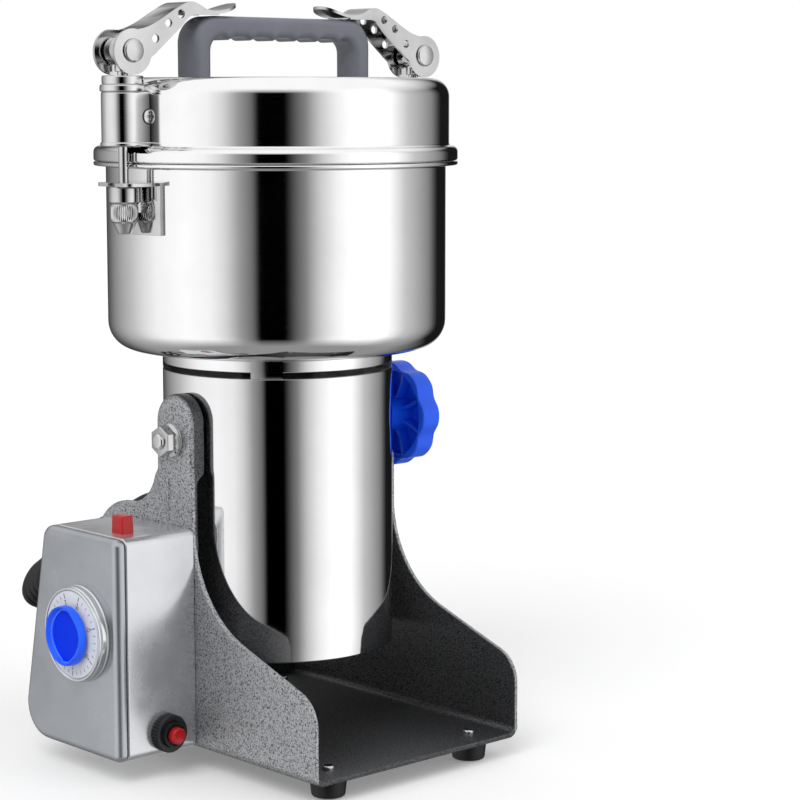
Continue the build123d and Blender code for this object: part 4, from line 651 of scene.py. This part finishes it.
def cross_screw(spot, radius, tall):
    """A domed screw head on a face that looks to -y, with a cross let into it: where both
    coordinates across the head are small beside one arm, the dome drops by the cross's depth."""
    rings, around = 22, 72
    r = np.linspace(0, radius, rings)[:, None]
    t = np.linspace(0, 2 * PI, around, endpoint=False)[None]
    a, b = r * np.cos(t), r * np.sin(t)
    dome = tall * np.sqrt(np.clip(1 - (r / radius) ** 2 * 0.75, 0, 1)) + 0 * t
    arm, wide = 0.62 * radius, 0.17 * radius
    slot = ((np.abs(a) < arm) & (np.abs(b) < wide)) | ((np.abs(b) < arm) & (np.abs(a) < wide))
    dome = dome - 0.75 * tall * slot
    grid = np.stack([a + spot[0], spot[1] - dome, b + spot[2]], -1)
    skirt = np.stack([a[-1:] + spot[0], spot[1] + 0.3 + 0 * a[-1:], b[-1:] + spot[2]], -1)
    grid = np.concatenate([grid, skirt])
    back = list(range(rings * around, (rings + 1) * around))
    return grid.reshape(-1, 3), quads(grid, False, True) + [back]


BLOCK_LOW, BLOCK_IN_R, SCREW_IN = 367.0, 104.06, 8.9
block_line = rounded([(104.2, -12.4, 0), (125.0, -12.4, 12.3), (125.0, 12.4, 12.3),
                      (104.2, 12.4, 0)], 16)
block_line[:, 0] = np.where(
    block_line[:, 0] < 104.3, BLOCK_IN_R * np.sqrt(1 - (block_line[:, 1] / BLOCK_IN_R) ** 2),
    block_line[:, 0])
block_line = evenly(block_line, 2.0)
guide = joined(
    slab(block_line, BLOCK_LOW, 398.0, 1.3, "z", 5),
    slab(inset(block_line, -0.7), BLOCK_LOW, 369.6, 0.9, "z", 4),
    *[lathe(rounded([(ROD_BORE, base, 0), (r, base, round_low), (r, top, round_top),
                     (ROD_BORE, top, 0)], 5), (LATCH_OUT, 0, 0), around=64)
      for r, base, top, round_low, round_top in ((13.1, 397.9, 401.9, 0.9, 0.9),
                                                 (11.9, 401.85, 407.0, 0.8, 1.0))])
screw = cross_screw((LATCH_OUT - SCREW_IN, -12.35, 383.9), 3.9, 1.3)
# a thin black disc round each guide screw's head: painted shadow round the head
painted_shadow_disc = lathe([(0, -12.3), (4.5, -12.3), (4.5, -12.52), (0, -12.52)],
             (LATCH_OUT - SCREW_IN, 0, 383.9), "y", 48, False)

for side, word in ((-1, "left"), (1, "right")):
    out, pin = side * LATCH_OUT, (side * LATCH_OUT, 0, PIN_HIGH)
    nut = lathe(evenly(rounded([
        (ROD_BORE, 344.1, 0), (9.1, 344.1, 0.9), (9.1, 335.6, 0.8), (7.8, 334.4, 0.3),
        (7.8, 324.6, 0.9), (6.6, 323.6, 0.3), (3.9, 317.4, 0.6), (ROD_BORE, 317.2, 0)], 5), 2.2),
        (out, 0, 0), around=288, wobble=knurled(48, 0.3, 325.4, 333.8))
    piece(f"thimble_nut_{word}_turned", nut, plated, f"rod_{word}",
          (f"thimble_nut_{word}",))
    piece(f"guide_block_{word}", mirrored(guide, side), satin_plated, "head",
          (f"latch_block_{word}",))

    rod = lathe(evenly(rounded([(0, 317.5, 0), (3.0, 317.5, 0.5), (3.0, 409.0, 0),
                                (4.5, 409.2, 0.3), (4.5, 419.0, 0), (0, 419.0, 0)], 4), 20, False),
                (out, 0, 0), around=40, loop=False)
    eye = lathe(rounded([(4.05, -7.0, 0.3), (8.0, -7.0, 0.7), (8.0, 7.0, 0.7), (4.05, 7.0, 0.3)],
                        5), pin, "y", 56)
    piece(f"pull_rod_{word}", joined(rod, eye), plated, f"rod_{word}",
          (f"latch_rod_{word}",))

    heads = [lathe(rounded([(0, face * 13.1, 0), (6.7, face * 12.2, 1.4),
                            (6.7, face * 10.85, 0.4), (0, face * 10.85, 0)], 6),
                   pin, "y", 48, False) for face in (-1, 1)]
    stem = lathe([(0, -11.0), (4.0, -11.0), (4.0, 11.0), (0, 11.0)],
                 pin, "y", 40, False)
    piece(f"latch_pin_{word}_turned", joined(stem, *heads), lever_steel, f"rod_{word}",
          (f"latch_pin_{word}",))
    piece(f"guide_screw_{word}", mirrored(screw, side), plated, "head")
    piece(f"guide_screw_{word}_well", mirrored(painted_shadow_disc, side), black_plastic, "head")
    eased(f"latch_lever_{word}", lever_steel, f"lever_{word}", 0.5, 3)
    eased(f"latch_bracket_{word}", plated, "head", 0.35, 2)


# ------ pressed base
def plate_line():
    """Outline of a side plate as (y, z), from the front bend up over the ear to the rear bend."""
    return evenly(rounded([
        (BASE_FRONT, PLATE_FOOT, 0), (BASE_FRONT, 59.2, 20.0), (-EAR_HALF, 97.6, 66.0),
        (-EAR_HALF, EAR_TOP, 17.3), (EAR_HALF, EAR_TOP, 17.3), (EAR_HALF, SHOULDER, 26.0),
        (BASE_BACK, SHOULDER, 38.0), (BASE_BACK, PLATE_FOOT, 0)], 24), 3.0, False)


def flange_depth(line):
    """How far the sheet turns in along the outline: deep round the ear, then a lip, then only the
    sheet itself, joined by smooth steps."""
    y, z = line[:, 0], line[:, 1]
    ear = soft_step((z - 171) / 6)
    front = SHEET + 1.5 * soft_step((z - 128) / 6) + 5.4 * ear
    return np.where(y < 0, front, SHEET + 6.9 * ear)


def pressed_plate(side):
    """Side plate: across its edge the sheet runs flat, turns in on a bend and ends in a lip. Each
    ring is the outline inset by a depth that belongs to its place across the bend."""
    line = plate_line()
    close = np.vstack([line, [(BASE_BACK, FLOOR_LOW)], [(BASE_FRONT, FLOOR_LOW)]])
    deep = flange_depth(line)
    bend = np.clip((deep - SHEET) * 0.62, 1.1, 4.2)
    steps = [(bend * (1 - math.sin(turn)), PLATE_OUT - bend * (1 - math.cos(turn)))
             for turn in np.linspace(0, PI / 2, 7)]
    steps += [(0 * deep, PLATE_OUT - deep + 0.5), (0 * deep + 0.5, PLATE_OUT - deep),
              (0 * deep + 2.6, PLATE_OUT - deep),
              (0 * deep + SHEET, PLATE_OUT - np.maximum(deep - 0.4, SHEET)),
              (0 * deep + SHEET, PLATE_OUT - SHEET - 0.35 * (deep - SHEET)),
              (SHEET + 0.5 * (deep - SHEET), PLATE_OUT - SHEET + 0 * deep)]
    keep = lambda depth: inset(close, np.append(depth, [0, 0])[:, None])[:-2]
    grid = np.stack([np.column_stack([side * x, keep(depth)]) for depth, x in steps])
    grid[..., 1] = np.clip(grid[..., 1], BASE_FRONT, BASE_BACK)
    n = len(line)
    last = (len(steps) - 1) * n
    ends = [[k * n + j for k in range(len(steps))] for j in (0, n - 1)]
    faces = quads(grid) + [list(range(n)), list(range(last, last + n))] + ends
    return grid.reshape(-1, 3), faces + [[0, n - 1, last + n - 1, last]]


def floor_pan():
    """The floor and its two side bends: a U section carried from front to back."""
    inner_x, inner_z = PLATE_OUT - SHEET, FLOOR_LOW + SHEET
    outer = rounded([(-PLATE_OUT, PLATE_FOOT, 0), (-PLATE_OUT, FLOOR_LOW, 7.0),
                     (PLATE_OUT, FLOOR_LOW, 7.0), (PLATE_OUT, PLATE_FOOT, 0)], 12)
    inner = rounded([(inner_x, PLATE_FOOT, 0), (inner_x, inner_z, 4.0),
                     (-inner_x, inner_z, 4.0), (-inner_x, PLATE_FOOT, 0)], 12)
    return slab(evenly(np.vstack([outer, inner]), 12.0), BASE_FRONT, BASE_BACK, 0.5, "y", 3)


def bead(side):
    """A short pressed rib: half a capsule standing on the plate."""
    u = np.linspace(0, 2 * PI, 40, endpoint=False)[:, None]
    v = np.linspace(0, PI / 2, 6)[None]
    along_z = np.sign(np.sin(u)) * 11.4 + 1.6 * np.sin(u) * np.cos(v)
    grid = np.stack([side * (80.4 + 0.9 * np.sin(v) + 0 * u), 5.5 + 1.6 * np.cos(u) * np.cos(v),
                     159.0 + along_z + 0 * v], -1)
    return grid.reshape(-1, 3), quads(grid, True) + [[i * 6 for i in range(40)]]


rear_lip = slab(rounded([(79.0, 14.0, 0), (BASE_BACK, 12.5, 1.0), (BASE_BACK, 25.0, 1.4),
                         (79.0, 25.0, 1.4)], 4), -77.8, 77.8, 0.3, "x", 3)
piece("pressed_base", joined(floor_pan(), pressed_plate(-1), pressed_plate(1), bead(-1), bead(1),
                             rear_lip), grey_enamel, "base", ("base_frame",), 30)

feet = [lathe(rounded([(0, 4.0, 0), (4.6, 4.0, 0), (4.6, 0.02, 0.3), (9.7, 0.02, 1.4),
                       (11.0, 11.95, 0.5), (0, 11.95, 0)], 6), (x, y, 0), around=48, loop=False)
        for x in (-55.9, 55.9) for y in (-110.0, 64.6)]
piece("rubber_feet", joined(*feet), rubber, "base", ("feet",))

# ------ pivot and lock knob
washers = [lathe(rounded([(STUD_BORE, side * 80.55, 0), (10.0, side * 80.55, 0.2),
                          (10.0, side * 82.15, 0.4), (STUD_BORE, side * 82.15, 0)], 4),
                 STUDS, "x", 64) for side in (-1, 1)]
piece("pivot_washers_turned", joined(*washers), plated, "base", ("pivot_washers",))
studs = [lathe(rounded([(0, side * 64.2, 0), (8.0, side * 64.2, 0.4), (8.0, side * 67.2, 0.3),
                        (5.0, side * 67.2, 0), (5.0, side * end, 1.8), (0, side * end, 0)], 6),
               STUDS, "x", 48, False) for side, end in ((-1, 92.7), (1, 98.3))]
piece("pivot_studs_turned", joined(*studs), plated, "base", ("pivot_studs",))

angles = np.arange(6) * PI / 3 + PI / 6
hexagon = np.column_stack([np.cos(angles), np.sin(angles)]) * 8.0 / math.cos(PI / 6)
nut_body = slab(evenly(hexagon, 2.5) + [0, PIVOT], -83.6, -90.2, 0.7, "x", 5)
nut_skirt = lathe(rounded([(STUD_BORE, -82.2, 0), (10.0, -82.2, 0.3), (10.0, -83.0, 0.3),
                           (8.4, -84.2, 0.3), (STUD_BORE, -84.2, 0)], 4), STUDS, "x", 64)
piece("pivot_nut_turned", joined(nut_skirt, nut_body), lever_steel, "base",
      ("pivot_nut",))

KNOB_R = 32.2


def knob_bowl():
    """The lock knob as a cup: up the middle of its inside, out round the back edge, over the rim
    and in across the face. The rim has eight lobes: r = R + 1.25 cos 8t - 0.25 cos 16t."""
    turn = np.linspace(0, 2 * PI, 240, endpoint=False)
    lobes = KNOB_R + 1.25 * np.cos(8 * turn) - 0.25 * np.cos(16 * turn)
    rim_line = np.column_stack([lobes * np.cos(turn), lobes * np.sin(turn)])
    t = np.linspace(0, PI / 2, 7)
    outside = [(2.4, 90.9), (1.6, 90.9)]
    outside += [(0.8 * (1 - math.sin(a)), 91.7 - 0.8 * math.cos(a)) for a in t]
    outside += [(3.6 * (1 - math.cos(a)), 102.8 + 3.6 * math.sin(a)) for a in t]
    outside += [(9.0, 106.4), (14.0, 105.6), (22.0, 105.2), (32.15, 105.2)]
    inside = [(0.05, 102.4), (26.2, 102.0), (26.6, 98.2), (28.0, 98.0), (28.3, 92.0), (28.9, 90.9)]
    rings = [np.column_stack([x + 0 * turn, r * np.cos(turn), r * np.sin(turn)])
             for r, x in inside]
    rings += [np.column_stack([x + 0 * turn, rim_line * (1 - depth / KNOB_R)])
              for depth, x in outside]
    return capped(np.stack(rings) + STUDS)


def knob_rib(angle):
    """A thin web from the hub to the wall inside the knob, its free edge dipping to the middle."""
    across = np.linspace(9.5, 28.4, 12)
    dip = 93.4 + 1.6 * np.sin((across - 9.5) / 18.9 * PI)
    line = np.vstack([np.column_stack([across, dip]), [(28.4, 102.6)], [(9.5, 102.6)]])
    verts, faces = slab(line, -0.95, 0.95, 0.35, "z", 3)
    a, x, b = verts.T
    c, s = math.cos(angle), math.sin(angle)
    return np.column_stack([x, a * c - b * s, PIVOT + a * s + b * c]), faces


hub = lathe(rounded([(5.06, 82.5, 0), (11.0, 82.5, 0.6), (11.0, 102.6, 0), (5.06, 102.6, 0)], 5),
            STUDS, "x", 64)
ribs = [knob_rib(PI / 8 + i * PI / 4) for i in range(8)]
piece("lock_knob_moulded", joined(knob_bowl(), hub, *ribs), blue_plastic, "knob",
      ("lock_knob",), 40)

# ------ control box
# the box's side wall as (y, z), its rear edge leaning back towards its foot
outline = evenly(rounded([(-19.7, 13.6, 5.2), (-19.7, 144.5, 5.2), (54.5, 144.5, 8.5),
                          (80.5, 13.6, 20.0)], 14), 3.0)
piece("control_box_body", slab(outline, BOX_WALL, -129.5, 1.0, "x", 5), box_enamel, "base",
      ("control_box",), 30)
# a black slab in the gap between the body and the cover: painted shade in the seam
piece("control_box_seam", slab(inset(outline, 0.9), -128.0, BOX_SEAM, 0.3, "x", 3),
      black_plastic, "base")

# the cover: each ring is the outline inset by a depth, the last ones round its edge
cover_rings = [(0.9, -130.4), (0.3, -130.5), (0.0, -130.9)]
cover_rings += [(4.6 * (1 - math.cos(a)), BOX_SEAM - 4.6 * math.sin(a))
                for a in np.linspace(0, PI / 2, 9)]
cover = capped(np.stack([np.column_stack([np.full(len(outline), x), inset(outline, depth)])
                         for depth, x in cover_rings]))
piece("control_cover_pressed", cover, silver_enamel, "base",
      ("control_cover",), 30)

DIAL = np.array([0, 15.9, 85.5])
DIAL_FACE = -143.2
bezel = lathe(evenly(rounded([
    (DIAL_BORE, -136.65, 0), (28.6, -136.65, 0.3), (28.6, -137.7, 0.4), (28.0, -138.1, 0.3),
    (28.0, -141.2, 0.5), (27.2, -141.7, 0.2), (27.7, -142.3, 0.3), (27.5, -143.6, 0.6),
    (26.3, -143.6, 0.4), (25.7, -142.6, 0), (DIAL_BORE, -142.6, 0)], 6), 6), DIAL, "x", 160)
piece("timer_bezel_moulded", bezel, bezel_plastic, "base", ("timer_bezel",))
face = lathe(rounded([(DIAL_BORE, -142.65, 0), (25.6, -142.65, 0), (25.6, DIAL_FACE, 0.15),
                      (DIAL_BORE, DIAL_FACE, 0)], 3), DIAL, "x", 96)
piece("timer_dial_face", face, white_plastic, "base", ("timer_dial",))


def dial_turn(minute):
    """Where a minute stands on the dial: 10.8 degrees each, the first a little past the top."""
    return PI / 2 - np.radians(18 + minute * 10.8)


def tick(minute):
    """A thin raised dash on the dial along a radius, longer and wider at every fifth minute."""
    fifth = minute % 5 == 0
    start, stop, wide = 21.4, 23.6 + 0.7 * fifth, 0.16 + 0.12 * fifth
    corners = np.array([(start, -wide), (stop, -wide), (stop, wide), (start, wide)])
    c, s = np.cos(dial_turn(minute)), np.sin(dial_turn(minute))
    flat = np.column_stack([corners[:, 0] * c - corners[:, 1] * s,
                            corners[:, 0] * s + corners[:, 1] * c])
    return slab(flat + DIAL[1:], -143.15, -143.26, 0.02, "x", 2)


dots = [lathe([(0, -143.15), (0.55, -143.15), (0.55, -143.28), (0, -143.28)],
              DIAL + [0, 20.0 * np.cos(a), 20.0 * np.sin(a)], "x", 12, False)
        for a in dial_turn(np.arange(0, 31, 5))]
piece("dial_marks", joined(*[tick(minute) for minute in range(31)], *dots), ink, "base")

# text lies in x and y; on the dial its x runs along -y and its y along z
FACING = Matrix(((0, 0, -1, 0), (-1, 0, 0, 0), (0, 1, 0, 0), (0, 0, 0, 1)))
for i in range(7):
    angle = dial_turn(i * 5)
    words = bpy.data.curves.new(f"dial_number_{i}", "FONT")
    words.body = str(i * 5)
    words.size = 0.0034
    words.align_x, words.align_y = "CENTER", "CENTER"
    words.extrude = 0.00005
    holder = bpy.data.objects.new(f"dial_number_{i}", words)
    bpy.context.scene.collection.objects.link(holder)
    bpy.context.view_layer.update()
    flat = bpy.data.meshes.new_from_object(holder)
    bpy.data.objects.remove(holder)
    spot = metres(DIAL + [DIAL_FACE, 17.6 * math.cos(angle), 17.6 * math.sin(angle)])
    flat.transform(Matrix.Translation(spot) @ FACING)
    dress(bpy.data.objects.new(f"dial_number_{i}", flat), ink, "base")

OVAL_WIDE, OVAL_LONG = 13.9, 16.6
KNOB_FACE, KNOB_RIM = -147.3, -150.1


def leaf_half(high):
    """Half width of the pointed oval on the knob at a height: wide (1 - (z / long)^2)^0.85."""
    return OVAL_WIDE * np.clip(1 - (high / OVAL_LONG) ** 2, 0, 1) ** 0.85


def knob_level(y, z):
    """Height of the knob's dished face: nearly flat in the oval, a low ridge along the oval's
    edge, a smooth rise from there to the rim."""
    r, half = np.hypot(y, z), leaf_half(z)
    room = np.sqrt(np.clip(16.9 ** 2 - z * z, 0.01, None)) - half + 0.3
    floor = 0.5 * np.clip(1 - (np.abs(y) / (half + 0.01)) ** 2, 0, 1)
    ridge = 0.4 * np.exp(-((np.abs(y) - half) / 0.6) ** 2)
    level = KNOB_FACE + floor - 2.7 * soft_step((np.abs(y) - half) / room) - ridge
    edge = soft_step((r - 15.2) / 1.4)
    return level * (1 - edge) + KNOB_RIM * edge


t = np.linspace(0, 2 * PI, 216, endpoint=False)[None]
wall = evenly(rounded([
    (0.05, -122.0, 0), (3.0, -122.0, 0), (3.0, -144.3, 0), (12.5, -144.3, 0.2),
    (12.5, -145.3, 0.3), (17.7, -145.3, 0.5), (17.35, KNOB_RIM, 0.8), (16.8, KNOB_RIM, 0)],
    8), 2.0, False)
r, x = wall[:, :1], wall[:, 1:] + 0 * t
sides = np.stack([x, r * np.cos(t), r * np.sin(t)], -1)
r = np.linspace(16.7, 0.05, 54)[:, None]
y, z = r * np.cos(t), r * np.sin(t)
knob = np.concatenate([sides, np.stack([knob_level(y, z), y, z], -1)])
piece("timer_knob_moulded", capped(knob + DIAL), blue_plastic, "timer",
      ("timer_knob",), 50)

# the oval's floor: a thin sheet of darker blue that paints shade in the dished oval, just proud of
# the knob's face
z, across = np.linspace(-15.3, 15.3, 49)[:, None], np.linspace(-0.94, 0.94, 25)[None]
y = across * leaf_half(z)
z = z + 0 * y
top = np.stack([knob_level(y, z) - 0.06, y, z], -1)
grip = np.concatenate([top, top[:, ::-1] + [0.4, 0, 0]], 1)
piece("timer_knob_grip", capped(grip + DIAL), painted_shade_blue, "timer", (), 50)

# the oval's edge: a round bead in a lighter blue that paints a highlight along it, (inset, height)
# = (0.55 cos b, 0.45 sin b)
z = np.linspace(-15.6, 15.6, 70)
line = np.vstack([np.column_stack([leaf_half(z), z]), np.column_stack([-leaf_half(z), z])[::-1]])
level = knob_level(line[:, 0], line[:, 1])
bend = np.linspace(0, 2 * PI, 10, endpoint=False)[:, None]
ring = inset(line, 0.55 * np.cos(bend)[..., None])
ridge = np.concatenate([(level - 0.1 - 0.45 * np.sin(bend))[..., None], ring + DIAL[1:]], -1)
piece("timer_knob_ridge", (ridge.reshape(-1, 3), quads(ridge, True, True)), painted_highlight_blue, "timer",
      (), 50)

# the power button narrows towards its top, which is clear of the box
BUTTON_X = -117.5
button_line = rounded([(-122.1, -5.8, 1.2), (-112.9, -5.8, 1.2), (-112.9, 5.8, 1.2),
                       (-122.1, 5.8, 1.2)], 6)
cap_points, cap_faces = slab(evenly(button_line, 1.5), 132.6, 154.9, 1.1, "z", 6)
draft = 1 - 0.13 * np.clip((cap_points[:, 2] - 144.5) / 10.4, 0, 1)
cap_points[:, 0] = BUTTON_X + (cap_points[:, 0] - BUTTON_X) * draft
cap_points[:, 1] *= draft
piece("power_button_cap", (cap_points, cap_faces), red_plastic, "power",
      ("power_button",))

RESET = (-102.8, 0, 27.1)
ring_nut = lathe(evenly(rounded([
    (7.45, -19.75, 0), (11.2, -19.75, 0.5), (11.2, -25.9, 1.2), (7.45, -25.9, 0.4)], 5), 1.5),
    RESET, "y", 216, wobble=knurled(36, 0.75, -25.0, -20.4))
piece("breaker_nut_knurled", ring_nut, black_plastic, "base", ("breaker_nut",))
bush = lathe(evenly(rounded([(4.95, -6.2, 0), (7.4, -6.2, 0), (7.4, -28.9, 0.8),
                             (4.95, -28.9, 0.3)], 5), 2), RESET, "y", 72)
piece("breaker_bush", bush, black_plastic, "base")
press = lathe(rounded([(0, -5.3, 0), (4.9, -5.3, 0), (4.9, -32.9, 1.4), (0, -32.9, 0)], 8),
              RESET, "y", 64, False)
piece("reset_button_cap", press, red_plastic, "reset", ("reset_button",))

# ------ what stays as solids
plain = {
    black_plastic: ("timer_body", "switch_body", "breaker_body", "cord_tie", "plug", "motor_cap",
                    "brush_holders", "cooling_fan"),
    plated: ("foot_screws", "handle_screws", "blade_nut"),
    satin_plated: ("bearings",),
    cast_metal: ("lower_plate", "top_plate", "seal_housing"),
    blade_steel: ("motor_shaft", "lower_blade", "blade_spacer", "upper_blade"),
    core_iron: ("stator", "carbon_brushes", "armature"),
    copper_wire: ("field_coils", "commutator"),
    rubber: ("shaft_seal",),
    silicone: ("lid_seal",)}
for finish, names in plain.items():
    for name in names:
        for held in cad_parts[name].material_slots:
            held.material = finish

# ------ floor, backdrop and light
WHITE, TABLE_GLOW = (1, 1, 1, 1), 0.2
ground = bpy.data.meshes.new("table_top")
ground.from_pydata([(-6, -6, -0.0006), (6, -6, -0.0006), (6, 6, -0.0006), (-6, 6, -0.0006)], [],
                   [(0, 1, 2, 3)])
table = bpy.data.objects.new("table_top", ground)
bpy.context.scene.collection.objects.link(table)
made, tree, shader, place = finish_base("pale table", Base_Color=(0.8, 0.8, 0.8, 1),
                                        Roughness=0.7, Emission_Color=WHITE)
seen = node(tree, "LightPath").outputs["Is Camera Ray"]
feed(tree, shader.inputs, Emission_Strength=worked(tree, "MULTIPLY", seen, TABLE_GLOW))
table.data.materials.append(made)
table.visible_glossy = False

# what metal mirrors: upright strips, each at an angle round the object in degrees from its front
# left, with a pale sky over them and a grey ground under them
STRIPS = [
    (-180, 0.95), (-175, 0.6), (-168, 0.03), (-150, 0.14), (-132, 0.33), (-112, 0.55),
    (-98, 0.78), (-84, 1.0), (-60, 1.1), (-42, 1.0), (-32, 0.76), (-22, 0.36), (-13, 0.16),
    (-9, 0.0), (9, 0.0), (12, 0.04), (22, 0.24), (32, 0.66), (43, 1.0), (60, 1.3), (80, 1.25),
    (99, 0.62), (113, 0.42), (126, 0.26), (136, 0.07), (142, 0.01), (168, 0.01), (175, 0.6),
    (180, 0.95)]
SKY, GROUND = (1.05, 1.05, 1.05, 1), (0.3, 0.3, 0.3, 1)
SKY_FADE, GROUND_FADE = (0.3, 0.7), (-0.42, -0.8)
SOFT_LIGHT = 0.62

world = bpy.data.worlds.new("studio")
bpy.context.scene.world = world
world.use_nodes = True
tree = world.node_tree
tree.nodes.clear()
way = node(tree, "TexCoord").outputs["Generated"]


def toward(direction):
    """How far a ray's way points in a direction."""
    return node(tree, "VectorMath", [(0, way), (1, direction)],
                operation="DOT_PRODUCT").outputs["Value"]


def shining(colour, strength=1.0):
    """Light from the world."""
    return node(tree, "Background", [("Color", colour), ("Strength", strength)]).outputs[0]


turned = worked(tree, "ARCTAN2", toward((math.cos(TURN), -math.sin(TURN), 0.0)),
                toward((-math.sin(TURN), -math.cos(TURN), 0.0)))
ramp = node(tree, "ValToRGB", [("Fac", spread(tree, turned, -PI, PI))])
stops = ramp.color_ramp.elements
for angle, level in STRIPS:
    at = (angle + 180) / 360
    stop = stops[0] if at == 0 else stops[-1] if at == 1 else stops.new(at)
    stop.color = (level, level, level, 1)
tall = toward((0.0, 0.0, 1.0))
topped = mixed(tree, spread(tree, tall, *SKY_FADE), ramp.outputs[0], SKY)
footed = mixed(tree, spread(tree, tall, *GROUND_FADE), topped, GROUND)
rays = node(tree, "LightPath").outputs
lit = node(tree, "MixShader", [(0, rays["Is Glossy Ray"]), (1, shining(WHITE, SOFT_LIGHT)),
                               (2, shining(footed))]).outputs[0]
seen = worked(tree, "MAXIMUM", rays["Is Camera Ray"], rays["Is Transmission Ray"])
shown = node(tree, "MixShader", [(0, seen), (1, lit), (2, shining(WHITE))]).outputs[0]
tree.links.new(shown, node(tree, "OutputWorld").inputs["Surface"])


def soft_sun(name, spot, spread_angle, power):
    """An even, very wide light that comes from the side of a spot."""
    lamp = bpy.data.lights.new(name, "SUN")
    lamp.energy = power
    lamp.angle = math.radians(spread_angle)
    holder = bpy.data.objects.new(name, lamp)
    holder.rotation_euler = Vector(spot).to_track_quat("Z", "Y").to_euler()
    holder.visible_glossy = False
    bpy.context.scene.collection.objects.link(holder)


soft_sun("key_lamp", (-1.2, -0.7, 1.5), 38, 1.5)
soft_sun("fill_lamp", (0.9, -1.5, 0.9), 60, 0.6)

bpy.context.scene.view_settings.view_transform = "Standard"
